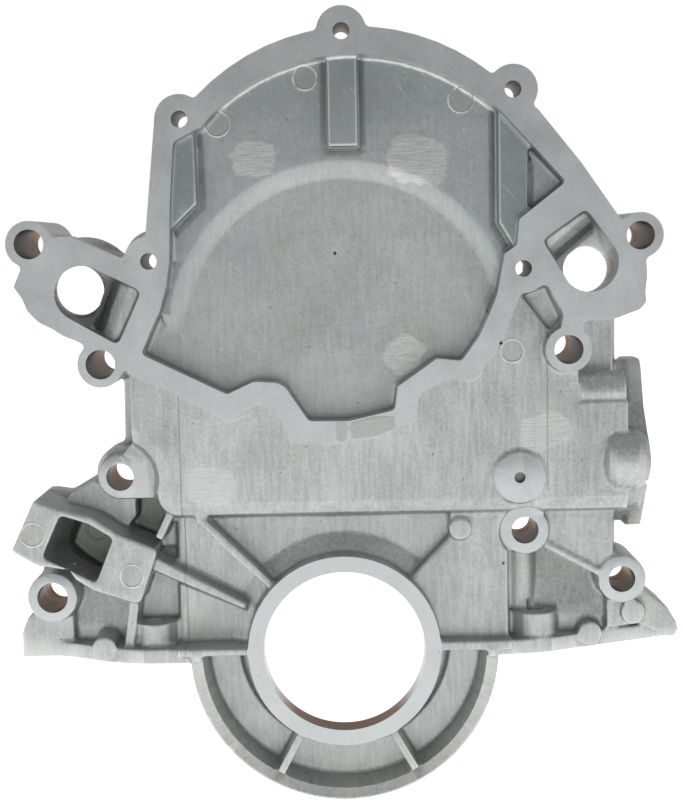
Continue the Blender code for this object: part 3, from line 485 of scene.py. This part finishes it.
def castAluminium(name, dark, light, paintedShade=None):
    # die-cast aluminium as it leaves the mould: a dull satin skin with soft clouds and faint flow streaks, paler
    # and scratched where it was dressed, with the round marks of the ejector pins, bright edges that are partly worn
    # and partly painted highlight, and painted shade in its corners and pockets
    material, tree, shader = newMaterial(name, castSkin["metallic"], 0.5)
    spot = measuredSpot(tree)
    parts = addNode(tree, "ShaderNodeSeparateXYZ", {0: spot})
    depth = parts.outputs["Y"]
    skin = addNode(tree, "ShaderNodeNewGeometry")

    cloud = addNode(tree, "ShaderNodeTexNoise", {"Vector": spot, "Scale": 1 / 24, "Detail": 5.0, "Roughness": 0.6})
    speck = addNode(tree, "ShaderNodeTexNoise", {"Vector": spot, "Scale": 1 / 1.4, "Detail": 3.0, "Roughness": 0.7})
    drawn = addNode(tree, "ShaderNodeVectorMath", {0: spot, 1: (1.6, 1.6, 14.0)}, operation="DIVIDE")
    streak = addNode(tree, "ShaderNodeTexNoise", {"Vector": drawn, "Scale": 1.0, "Detail": 4.0, "Roughness": 0.6})
    tone = addNode(tree, "ShaderNodeMath", {0: cloud, 1: 0.3, 2: 0.0}, operation="MULTIPLY_ADD")
    tone = addNode(tree, "ShaderNodeMath", {0: speck, 1: 0.4, 2: tone}, operation="MULTIPLY_ADD")
    tone = addNode(tree, "ShaderNodeMath", {0: streak, 1: 0.3, 2: tone}, operation="MULTIPLY_ADD")
    tone = addNode(tree, "ShaderNodeMapRange", {"Value": tone, "From Min": 0.4, "From Max": 0.6})
    colour = addNode(tree, "ShaderNodeMix", {0: tone, 6: hexToLinear(dark), 7: hexToLinear(light)}, data_type="RGBA")
    if paintedShade:
        # painted shade: the tops of the pads and the high floor of the recess, most of all its upper end, are darker,
        # on the faces that look to the front
        high = addNode(tree, "ShaderNodeMapRange", {"Value": depth, "From Min": 37.5, "From Max": 45.0, "To Max": 0.9},
                       interpolation_type="SMOOTHSTEP")
        upper = addNode(tree, "ShaderNodeMath", {0: cloud, 1: 40.0, 2: parts.outputs["Z"]}, operation="MULTIPLY_ADD")
        upper = addNode(tree, "ShaderNodeMapRange", {"Value": upper, "From Min": 232.0, "From Max": 258.0,
                                                     "To Max": 0.6}, interpolation_type="SMOOTHSTEP")
        high = addNode(tree, "ShaderNodeMath", {0: high, 1: upper}, operation="MAXIMUM")
        facing = addNode(tree, "ShaderNodeSeparateXYZ", {0: skin.outputs["True Normal"]})
        facing = addNode(tree, "ShaderNodeMapRange", {"Value": facing.outputs["Y"], "From Min": -0.9, "From Max": -0.6,
                                                      "To Min": 1.0, "To Max": 0.0})
        high = addNode(tree, "ShaderNodeMath", {0: high, 1: facing}, operation="MULTIPLY")
        colour = addNode(tree, "ShaderNodeMix", {0: high, 6: colour, 7: hexToLinear(paintedShade)}, data_type="RGBA")
    heat = addNode(tree, "ShaderNodeTexNoise", {"Vector": spot, "Scale": 1 / 42, "Detail": 2.0})
    heat = addNode(tree, "ShaderNodeMapRange", {"Value": heat, "From Min": 0.54, "From Max": 0.74, "To Max": 0.22})
    colour = addNode(tree, "ShaderNodeMix", {0: heat, 6: colour, 7: hexToLinear(castSkin["tint"])}, data_type="RGBA")

    ragged = addNode(tree, "ShaderNodeTexNoise", {"Vector": spot, "Scale": 1 / 4, "Detail": 4.0, "Roughness": 0.6})
    ragged = addNode(tree, "ShaderNodeMath", {0: ragged, 1: 1.4, 2: -0.7}, operation="MULTIPLY_ADD")
    dressed = insidePatches(tree, spot, dressedPatches, ragged)
    # the real scratches are 0.1 mm wide, drawn five times as wide here so that they show
    along = addNode(tree, "ShaderNodeVectorMath", {0: spot, 1: (9.0, 1.0, 0.8)}, operation="DIVIDE")
    along = addNode(tree, "ShaderNodeMapping", {"Vector": along, "Rotation": (0, math.radians(9), 0)})
    scratch = addNode(tree, "ShaderNodeTexNoise", {"Vector": along, "Scale": 1.0, "Detail": 3.0, "Roughness": 0.7})
    worn = addNode(tree, "ShaderNodeMapRange",
                   {"Value": scratch, "From Min": 0.42, "From Max": 0.6, "To Min": 0.5, "To Max": 0.9})
    worn = addNode(tree, "ShaderNodeMath", {0: worn, 1: dressed}, operation="MULTIPLY")
    colour = addNode(tree, "ShaderNodeMix", {0: worn, 6: colour, 7: hexToLinear(castSkin["dressed"])},
                     data_type="RGBA")

    # sparse handling scratches, and pores where the skin has broken
    tilted = addNode(tree, "ShaderNodeMapping", {"Vector": spot, "Rotation": (0, math.radians(38), 0)})
    tilted = addNode(tree, "ShaderNodeVectorMath", {0: tilted, 1: (0.45, 3.0, 9.0)}, operation="DIVIDE")
    nick = addNode(tree, "ShaderNodeTexNoise", {"Vector": tilted, "Scale": 1.0, "Detail": 2.0})
    nick = addNode(tree, "ShaderNodeMapRange", {"Value": nick, "From Min": 0.66, "From Max": 0.74, "To Max": 0.5})
    colour = addNode(tree, "ShaderNodeMix", {0: nick, 6: colour, 7: hexToLinear("#DDDEDB")}, data_type="RGBA")
    pore = addNode(tree, "ShaderNodeTexVoronoi", {"Vector": spot, "Scale": 1 / castSkin["poreSpacing"]})
    pore = addNode(tree, "ShaderNodeMapRange", {"Value": pore.outputs["Distance"], "From Min": 0.03,
                                                "From Max": 0.05, "To Min": 0.6, "To Max": 0.0})
    colour = addNode(tree, "ShaderNodeMix", {0: pore, 6: colour, 7: hexToLinear("#4E4F4D")}, data_type="RGBA")

    edge = outsideDiscs(tree, spot, ejectorMarks)
    ring = addNode(tree, "ShaderNodeMath", {0: edge}, operation="ABSOLUTE")
    ring = addNode(tree, "ShaderNodeMapRange", {"Value": ring, "From Min": 0.1, "From Max": 0.6,
                                                "To Min": 1.0, "To Max": 0.0}, interpolation_type="SMOOTHSTEP")
    gap = addNode(tree, "ShaderNodeTexNoise", {"Vector": spot, "Scale": 1 / 5, "Detail": 1.0})
    gap = addNode(tree, "ShaderNodeMapRange", {"Value": gap, "From Min": 0.38, "From Max": 0.52,
                                               "To Min": 0.1, "To Max": 0.85})
    gap = addNode(tree, "ShaderNodeMath", {0: gap, 1: ring}, operation="MULTIPLY")
    colour = addNode(tree, "ShaderNodeMix", {0: gap, 6: colour, 7: hexToLinear("#E4E5E2")}, data_type="RGBA")
    inside = addNode(tree, "ShaderNodeMapRange", {"Value": edge, "From Min": -0.7, "From Max": -0.3,
                                                  "To Min": 1.0, "To Max": 0.0}, interpolation_type="SMOOTHSTEP")
    faded = addNode(tree, "ShaderNodeMath", {0: inside, 1: 0.3}, operation="MULTIPLY")
    colour = addNode(tree, "ShaderNodeMix", {0: faded, 6: colour, 7: hexToLinear("#A9AAA4")}, data_type="RGBA")
    pits = outsideDiscs(tree, spot, pinholes)
    pits = addNode(tree, "ShaderNodeMapRange", {"Value": pits, "From Min": -0.4, "From Max": 0.1,
                                                "To Min": 1.0, "To Max": 0.0})
    colour = addNode(tree, "ShaderNodeMix", {0: pits, 6: colour, 7: hexToLinear("#3C3B38")}, data_type="RGBA")
    line = upToLine(tree, spot, partingLines)
    line = addNode(tree, "ShaderNodeMapRange", {"Value": line, "From Min": 0.1, "From Max": 0.42,
                                                "To Min": 1.0, "To Max": 0.0})
    lineShade = addNode(tree, "ShaderNodeMath", {0: line, 1: 0.5}, operation="MULTIPLY")
    colour = addNode(tree, "ShaderNodeMix", {0: lineShade, 6: colour, 7: hexToLinear(castSkin["line"])},
                     data_type="RGBA")

    # painted shade in the bracket's pocket and in the deep corner beside the case, brown stains on the arms, and
    # painted shade on the floor of the left port, darkest round its hole
    pocket = insidePatches(tree, spot, shadedPockets, ragged)
    pocket = addNode(tree, "ShaderNodeMath", {0: pocket, 1: 0.6}, operation="MULTIPLY")
    colour = addNode(tree, "ShaderNodeMix", {0: pocket, 6: colour, 7: hexToLinear(castSkin["pocketShade"])},
                     data_type="RGBA")
    stains = insidePatches(tree, spot, brownStains, ragged, 18.0)
    stains = addNode(tree, "ShaderNodeMath", {0: stains, 1: 0.6}, operation="MULTIPLY")
    colour = addNode(tree, "ShaderNodeMix", {0: stains, 6: colour, 7: hexToLinear("#8A6F5B")}, data_type="RGBA")
    # painted shade, darker towards the left port's hole
    fromHole = addNode(tree, "ShaderNodeVectorMath", {0: spot, 1: shadedPort["hole"]}, operation="SUBTRACT")
    fromHole = addNode(tree, "ShaderNodeVectorMath", {0: fromHole, 1: (1, 0, 1)}, operation="MULTIPLY")
    portShade = addNode(tree, "ShaderNodeVectorMath", {0: fromHole}, operation="LENGTH")
    portShade = addNode(tree, "ShaderNodeMath", {0: ragged, 1: 7.0, 2: portShade.outputs["Value"]}, operation="MULTIPLY_ADD")
    portShade = addNode(tree, "ShaderNodeMapRange", {"Value": portShade, "From Min": shadedPort["radius"] - 1,
                                                "From Max": shadedPort["reach"], "To Min": 0.95, "To Max": 0.0})
    floorOnly = addNode(tree, "ShaderNodeMapRange", {"Value": depth, "From Min": 46.0, "From Max": 49.0,
                                                     "To Min": 1.0, "To Max": 0.0})
    portShade = addNode(tree, "ShaderNodeMath", {0: portShade, 1: floorOnly}, operation="MULTIPLY")
    colour = addNode(tree, "ShaderNodeMix", {0: portShade, 6: colour, 7: hexToLinear("#2F302F")}, data_type="RGBA")

    # outer edges made bright partly by handling wear and partly as painted highlight; corners and creases darkened
    # partly by dust and release agent and partly as painted shade
    bend = skin.outputs["Pointiness"]
    rubbedAndHighlit = addNode(tree, "ShaderNodeMapRange", {"Value": bend, "From Min": 0.506, "From Max": 0.56,
                                                  "To Max": castSkin["edgeWearAndHighlight"]})
    colour = addNode(tree, "ShaderNodeMix", {0: rubbedAndHighlit, 6: colour, 7: hexToLinear("#E2E3E0")}, data_type="RGBA")
    crease = addNode(tree, "ShaderNodeMapRange", {"Value": bend, "From Min": 0.45, "From Max": 0.494,
                                                  "To Min": castSkin["creaseDirtAndShade"], "To Max": 0.0})
    colour = addNode(tree, "ShaderNodeMix", {0: crease, 6: colour, 7: hexToLinear("#4B4C4A")}, data_type="RGBA")
    corner = addNode(tree, "ShaderNodeAmbientOcclusion", {"Distance": castSkin["cornerReach"] * mm}, samples=6)
    dirtAndShade = addNode(tree, "ShaderNodeMapRange", {"Value": corner.outputs["AO"], "From Min": 0.35, "From Max": 0.85,
                                                "To Min": castSkin["cornerDirtAndShade"], "To Max": 0.0})
    colour = addNode(tree, "ShaderNodeMix", {0: dirtAndShade, 6: colour, 7: hexToLinear("#434442")}, data_type="RGBA")
    if paintedShade:
        # painted highlight: a bright line along the recess's upper arc, where the edge under the flange catches the
        # light from below
        arcHighlight = addNode(tree, "ShaderNodeVectorMath", {0: spot, 1: (chamberArc[0][0], 0, chamberArc[0][1])},
                       operation="SUBTRACT")
        arcHighlight = addNode(tree, "ShaderNodeVectorMath", {0: arcHighlight, 1: (1, 0, 1)}, operation="MULTIPLY")
        arcHighlight = addNode(tree, "ShaderNodeVectorMath", {0: arcHighlight}, operation="LENGTH")
        arcHighlight = addNode(tree, "ShaderNodeMath", {0: ragged, 1: 1.2, 2: arcHighlight.outputs["Value"]}, operation="MULTIPLY_ADD")
        arcHighlight = addNode(tree, "ShaderNodeMapRange", {"Value": arcHighlight, "From Min": chamberArc[1] - 1.6,
                                                    "From Max": chamberArc[1] - 1.0, "To Max": 0.9})
        arcOnly = addNode(tree, "ShaderNodeMapRange",
                          {"Value": parts.outputs["Z"], "From Min": 229.0, "From Max": 233.0})
        arcHighlight = addNode(tree, "ShaderNodeMath", {0: arcHighlight, 1: arcOnly}, operation="MULTIPLY")
        colour = addNode(tree, "ShaderNodeMix", {0: arcHighlight, 6: colour, 7: hexToLinear("#E6E7E4")}, data_type="RGBA")
    tree.links.new(colour.outputs[2], shader.inputs["Base Color"])

    smooth, dull = castSkin["roughness"]
    rough = addNode(tree, "ShaderNodeMapRange", {"Value": speck, "From Min": 0.3, "From Max": 0.7,
                                                 "To Min": smooth, "To Max": dull})
    rough = addNode(tree, "ShaderNodeMath", {0: worn, 1: -0.12, 2: rough}, operation="MULTIPLY_ADD")
    tree.links.new(rough.outputs[0], shader.inputs["Roughness"])

    # heights in mm
    wave = addNode(tree, "ShaderNodeTexNoise", {"Vector": spot, "Scale": 1 / 9, "Detail": 2.0})
    height = addNode(tree, "ShaderNodeMath", {0: wave, 1: 0.2, 2: 0.0}, operation="MULTIPLY_ADD")
    height = addNode(tree, "ShaderNodeMath", {0: speck, 1: 0.1, 2: height}, operation="MULTIPLY_ADD")
    height = addNode(tree, "ShaderNodeMath", {0: streak, 1: 0.03, 2: height}, operation="MULTIPLY_ADD")
    height = addNode(tree, "ShaderNodeMath", {0: worn, 1: 0.07, 2: height}, operation="MULTIPLY_ADD")
    height = addNode(tree, "ShaderNodeMath", {0: ring, 1: 0.14, 2: height}, operation="MULTIPLY_ADD")
    height = addNode(tree, "ShaderNodeMath", {0: inside, 1: -0.15, 2: height}, operation="MULTIPLY_ADD")
    height = addNode(tree, "ShaderNodeMath", {0: line, 1: 0.1, 2: height}, operation="MULTIPLY_ADD")
    height = addNode(tree, "ShaderNodeMath", {0: nick, 1: 0.06, 2: height}, operation="MULTIPLY_ADD")
    height = addNode(tree, "ShaderNodeMath", {0: pits, 1: -0.5, 2: height}, operation="MULTIPLY_ADD")
    bump = addNode(tree, "ShaderNodeBump", {"Height": height, "Strength": 1.0, "Distance": mm})
    tree.links.new(bump.outputs["Normal"], shader.inputs["Normal"])
    return material


def milledAluminium():
    # aluminium after face milling: paler than the cast skin, flat, with a fine grain, a few stains and open pores
    material, tree, shader = newMaterial("milled_aluminium", 1.0, 0.4)
    spot = measuredSpot(tree)
    grain = addNode(tree, "ShaderNodeTexNoise", {"Vector": spot, "Scale": 1 / 0.9, "Detail": 3.0, "Roughness": 0.7})
    stain = addNode(tree, "ShaderNodeTexNoise", {"Vector": spot, "Scale": 1 / 18, "Detail": 5.0, "Roughness": 0.6})
    tone = addNode(tree, "ShaderNodeMath", {0: grain, 1: 0.4, 2: 0.0}, operation="MULTIPLY_ADD")
    tone = addNode(tree, "ShaderNodeMath", {0: stain, 1: 0.6, 2: tone}, operation="MULTIPLY_ADD")
    tone = addNode(tree, "ShaderNodeMapRange", {"Value": tone, "From Min": 0.36, "From Max": 0.64})
    colour = addNode(tree, "ShaderNodeMix", {0: tone, 6: hexToLinear("#B5B9B9"), 7: hexToLinear("#CACECE")},
                     data_type="RGBA")
    pore = addNode(tree, "ShaderNodeTexVoronoi", {"Vector": spot, "Scale": 1 / 8})
    pore = addNode(tree, "ShaderNodeMapRange", {"Value": pore.outputs["Distance"], "From Min": 0.03,
                                                "From Max": 0.055, "To Min": 0.5, "To Max": 0.0})
    colour = addNode(tree, "ShaderNodeMix", {0: pore, 6: colour, 7: hexToLinear("#5A5B59")}, data_type="RGBA")
    ragged = addNode(tree, "ShaderNodeTexNoise", {"Vector": spot, "Scale": 1 / 3, "Detail": 3.0})
    ragged = addNode(tree, "ShaderNodeMath", {0: ragged, 1: 0.8, 2: -0.4}, operation="MULTIPLY_ADD")
    # the cutter only grazed the lowest rail of the pump flange
    grazed = insidePatches(tree, spot, [(13.5, 50.0, 98.0, 9.8, 4.0, -9.0), (0.5, 50.0, 97.0, 2.4, 5.0, 0.0)], ragged)
    colour = addNode(tree, "ShaderNodeMix", {0: grazed, 6: colour, 7: hexToLinear("#B4B6B3")}, data_type="RGBA")
    tree.links.new(colour.outputs[2], shader.inputs["Base Color"])
    rough = addNode(tree, "ShaderNodeMapRange", {"Value": stain, "From Min": 0.35, "From Max": 0.65,
                                                 "To Min": 0.36, "To Max": 0.46})
    tree.links.new(rough.outputs[0], shader.inputs["Roughness"])
    height = addNode(tree, "ShaderNodeMath", {0: grazed, 1: 0.15, 2: 0.02}, operation="MULTIPLY_ADD")
    height = addNode(tree, "ShaderNodeMath", {0: height, 1: grain}, operation="MULTIPLY")
    bump = addNode(tree, "ShaderNodeBump", {"Height": height, "Strength": 1.0, "Distance": mm})
    tree.links.new(bump.outputs["Normal"], shader.inputs["Normal"])
    return material


def drilledAluminium():
    # aluminium inside a drilled hole: turned grooves and a film of old oil, brown where it has dried
    material, tree, shader = newMaterial("drilled_aluminium", 1.0, 0.4)
    spot = measuredSpot(tree)
    stain = addNode(tree, "ShaderNodeTexNoise", {"Vector": spot, "Scale": 1 / 5, "Detail": 3.0})
    stain = addNode(tree, "ShaderNodeMapRange", {"Value": stain, "From Min": 0.36, "From Max": 0.62})
    depth = addNode(tree, "ShaderNodeSeparateXYZ", {0: spot}).outputs["Y"]
    deep = addNode(tree, "ShaderNodeMath", {0: stain, 1: -14.0, 2: depth}, operation="MULTIPLY_ADD")
    deep = addNode(tree, "ShaderNodeMapRange", {"Value": deep, "From Min": 6.0, "From Max": 26.0})
    brown = addNode(tree, "ShaderNodeMix", {0: stain, 6: hexToLinear("#5A3C25"), 7: hexToLinear("#9A7658")},
                    data_type="RGBA")
    colour = addNode(tree, "ShaderNodeMix", {0: deep, 6: brown, 7: hexToLinear("#7D7C78")}, data_type="RGBA")
    tree.links.new(colour.outputs[2], shader.inputs["Base Color"])
    turned = addNode(tree, "ShaderNodeVectorMath", {0: spot, 1: (4.0, 0.5, 4.0)}, operation="DIVIDE")
    groove = addNode(tree, "ShaderNodeTexNoise", {"Vector": turned, "Scale": 1.0, "Detail": 2.0})
    height = addNode(tree, "ShaderNodeMath", {0: groove, 1: 0.04}, operation="MULTIPLY")
    bump = addNode(tree, "ShaderNodeBump", {"Height": height, "Strength": 1.0, "Distance": mm})
    tree.links.new(bump.outputs["Normal"], shader.inputs["Normal"])
    return material


def boredAluminium():
    # the finely bored seat of the seal: smooth and pale, with brown dried sealant along the bottom
    material, tree, shader = newMaterial("bored_aluminium", 1.0, 0.32)
    spot = measuredSpot(tree)
    level = addNode(tree, "ShaderNodeSeparateXYZ", {0: spot}).outputs["Z"]
    uneven = addNode(tree, "ShaderNodeTexNoise", {"Vector": spot, "Scale": 1 / 6, "Detail": 3.0})
    level = addNode(tree, "ShaderNodeMath", {0: uneven, 1: 6.0, 2: level}, operation="MULTIPLY_ADD")
    dried = addNode(tree, "ShaderNodeMapRange", {"Value": level, "From Min": -25.0, "From Max": -17.0,
                                                 "To Min": 1.0, "To Max": 0.0}, interpolation_type="SMOOTHSTEP")
    colour = addNode(tree, "ShaderNodeMix", {0: dried, 6: hexToLinear("#C6C3BE"), 7: hexToLinear("#8F6A50")},
                     data_type="RGBA")
    tree.links.new(colour.outputs[2], shader.inputs["Base Color"])
    return material


casting.data.materials.clear()
finishes = {
    "cast": castAluminium("die_cast_aluminium", "#A6AAA9", "#CDD1CF"),
    # the recess's copy of the cast skin carries painted shade on its high floor and pad tops
    "recess": castAluminium("die_cast_aluminium_recess", "#A9ADAD", "#C0C4C3", "#90979A"),
    "milled": milledAluminium(),
    "drilled": drilledAluminium(),
    "bored": boredAluminium(),
}
for material in finishes.values():
    casting.data.materials.append(material)
slots = {name: index for index, name in enumerate(finishes)}

mesh = casting.data
count = len(mesh.polygons)
centres = np.zeros(count * 3)
normals = np.zeros(count * 3)
mesh.polygons.foreach_get("center", centres)
mesh.polygons.foreach_get("normal", normals)
centres = centres.reshape(-1, 3) / mm + np.array((0, 0, crankBelowOrigin))
normals = normals.reshape(-1, 3)
depths = -centres[:, 1]
front = normals[:, 1] < -0.99
finish = np.full(count, slots["cast"])


def insideOutline(x, z, outline):
    inside = np.zeros(len(x), bool)
    for (ax, az), (bx, bz) in zip(outline, outline[1:] + outline[:1]):
        if az != bz:
            crosses = ((az > z) != (bz > z)) & (x < (bx - ax) * (z - az) / (bz - az) + ax)
            inside ^= crosses
    return inside


(arcX, arcZ), arcRadius = chamberArc
recessOutline = [(arcX + arcRadius * math.cos(math.radians(a)), arcZ + arcRadius * math.sin(math.radians(a)))
                 for a in np.linspace(128.5, 58.5, 24)]
recessOutline += [(67.4, 230.2), (79.9, 216.5), (95.7, 199.2), (76.1, 184.2), (75.1, 173.5), (70.0, 170.0),
                  (68.3, 161.1), (66.6, 152.8), (63.6, 145.4), (59.3, 136.2), (51.6, 125.5), (41.2, 126.7),
                  (24.6, 115.2), (23.2, 105.3), (4.1, 101.0), (-13.3, 101.2), (-24.0, 117.6), (-36.0, 118.4),
                  (-47.4, 113.2), (-83.1, 130.8), (-79.0, 140.2), (-74.5, 149.3), (-71.6, 159.7), (-70.1, 169.2),
                  (-68.9, 194.8), (-66.9, 218.5), (-55.5, 224.4)]
inRecess = insideOutline(centres[:, 0], centres[:, 2], recessOutline) & (depths > 34.0) & (depths < 49.95)
finish[inRecess] = slots["recess"]

near = 0.02
finish[(abs(depths - levels["pump"]) < near) & front] = slots["milled"]
fromCrank = np.hypot(centres[:, 0], centres[:, 2])
finish[(abs(depths - levels["collar"]) < near) & front & (fromCrank < 43)] = slots["milled"]
finish[(abs(depths) < near) & (normals[:, 1] > 0.99)] = slots["milled"]
finish[(abs(centres[:, 2] - levels["pan"]) < near) & (normals[:, 2] < -0.99)] = slots["milled"]
finish[(abs(centres[:, 0] - levels["fuel"]) < near) & (normals[:, 0] > 0.99)] = slots["milled"]
for (x, z), diameter, face, boss in boltHoles:
    away = np.hypot(centres[:, 0] - x, centres[:, 2] - z)
    finish[(abs(depths - face) < 0.5) & (away < boss / 2 + 0.3) & front] = slots["milled"]
    finish[(abs(away - diameter / 2) < 0.1) & (abs(normals[:, 1]) < 0.3)] = slots["drilled"]
(x, z), diameter, face, hole = gaugeDisc
away = np.hypot(centres[:, 0] - x, centres[:, 2] - z)
finish[(abs(depths - face) < 0.5) & (away < diameter / 2 + 0.3) & front] = slots["milled"]
for x, z in pumpTaps:
    away = np.hypot(centres[:, 0] - x, centres[:, 2] - z)
    finish[(away < tapDrill / 2 + 0.05) & (depths < levels["pump"] - 0.1)] = slots["drilled"]
finish[(abs(fromCrank - sealBore / 2) < 0.1) & (depths > 33) & (abs(normals[:, 1]) < 0.3)] = slots["bored"]
mesh.polygons.foreach_set("material_index", finish.astype(np.int32))
mesh.polygons.foreach_set("use_smooth", np.ones(count, bool))
sharp = bmesh.new()
sharp.from_mesh(mesh)
for edge in sharp.edges:
    if len(edge.link_faces) == 2 and edge.calc_face_angle(0) > math.radians(38):
        edge.smooth = False
sharp.to_mesh(mesh)
sharp.free()

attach(casting, "root")
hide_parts("timing_cover")

print("studio")
studio = {
    "floorSize": 60.0,     # m
    "floorGlow": 0.95,     # what the camera sees on top of the lit floor
    "nearTable": 0.22,     # m, the white table around the object, as reflections see it
    "farTable": 1.2,
    "farShare": 0.3,
    "horizon": 0.53,
    "ceiling": 0.35,
}

bpy.ops.mesh.primitive_plane_add(size=studio["floorSize"], location=(0, 0, cadBox[0][2]))
floor = bpy.context.object
floor.name = "floor"
paper, tree, shader = newMaterial("white_paper", 0.0, 0.9)
shader.inputs["Base Color"].default_value = hexToLinear("#E6E6E6")
path = addNode(tree, "ShaderNodeLightPath")
away = addNode(tree, "ShaderNodeTexCoord").outputs["Object"]
away = addNode(tree, "ShaderNodeVectorMath", {0: away}, operation="LENGTH")
table = addNode(tree, "ShaderNodeMapRange", {"Value": away, "From Min": studio["nearTable"],
                                             "From Max": studio["farTable"], "To Min": 1.0,
                                             "To Max": studio["farShare"]}, interpolation_type="SMOOTHSTEP")
mirrored = addNode(tree, "ShaderNodeMath", {0: path.outputs["Is Glossy Ray"], 1: path.outputs["Is Transmission Ray"]},
                   operation="MAXIMUM")
mirrored = addNode(tree, "ShaderNodeMath", {0: mirrored, 1: table}, operation="MULTIPLY")
seen = addNode(tree, "ShaderNodeMath", {0: mirrored, 1: path.outputs["Is Camera Ray"]}, operation="MAXIMUM")
seen = addNode(tree, "ShaderNodeMath", {0: seen, 1: studio["floorGlow"]}, operation="MULTIPLY")
light = addNode(tree, "ShaderNodeEmission", {"Strength": seen})
both = addNode(tree, "ShaderNodeAddShader", {0: shader.outputs[0], 1: light.outputs[0]})
tree.links.new(both.outputs[0], tree.nodes["Material Output"].inputs["Surface"])
floor.data.materials.append(paper)

world = bpy.data.worlds.new("studio")
bpy.context.scene.world = world
world.use_nodes = True
tree = world.node_tree
ray = addNode(tree, "ShaderNodeTexCoord").outputs["Generated"]
height = addNode(tree, "ShaderNodeSeparateXYZ", {0: ray}).outputs["Z"]
fade = addNode(tree, "ShaderNodeMapRange", {"Value": height, "From Min": 0.05, "From Max": 0.6,
                                            "To Min": studio["horizon"], "To Max": studio["ceiling"]},
               interpolation_type="SMOOTHSTEP")
camera = addNode(tree, "ShaderNodeLightPath").outputs["Is Camera Ray"]
strength = addNode(tree, "ShaderNodeMath", {0: fade, 1: camera}, operation="MAXIMUM")
tree.links.new(strength.outputs[0], tree.nodes["Background"].inputs["Strength"])
tree.nodes["Background"].inputs["Color"].default_value = (1, 1, 1, 1)


def softbox(name, spot, target, size, power):
    lamp = bpy.data.lights.new(name, "AREA")
    lamp.shape = "RECTANGLE"
    lamp.size, lamp.size_y = size
    lamp.energy = power
    obj = bpy.data.objects.new(name, lamp)
    bpy.context.scene.collection.objects.link(obj)
    obj.location = spot
    obj.rotation_euler = (Vector(target) - Vector(spot)).to_track_quat("-Z", "Y").to_euler()
    return obj


middle = (0, 0, -0.11)
softbox("front_low", (0.0, -0.75, -0.27), middle, (1.5, 0.25), 0.9)
softbox("left", (-0.9, -0.5, -0.1), middle, (0.5, 0.8), 1.2)
softbox("right", (0.9, -0.5, 0.0), middle, (0.5, 0.8), 0.9)

camera = bpy.data.objects.new("camera", bpy.data.cameras.new("camera"))
bpy.context.scene.collection.objects.link(camera)
camera.location = (0.00197, -0.667, -0.03614)
camera.rotation_euler = (math.radians(90 - 6.14), math.radians(1.1), 0)
camera.data.lens = 36 * 1473 / 807  # the photograph's height is 807 pixels
camera.data.sensor_width = 36
camera.data.sensor_fit = "AUTO"
bpy.context.scene.camera = camera
bpy.context.scene.view_settings.view_transform = "Standard"
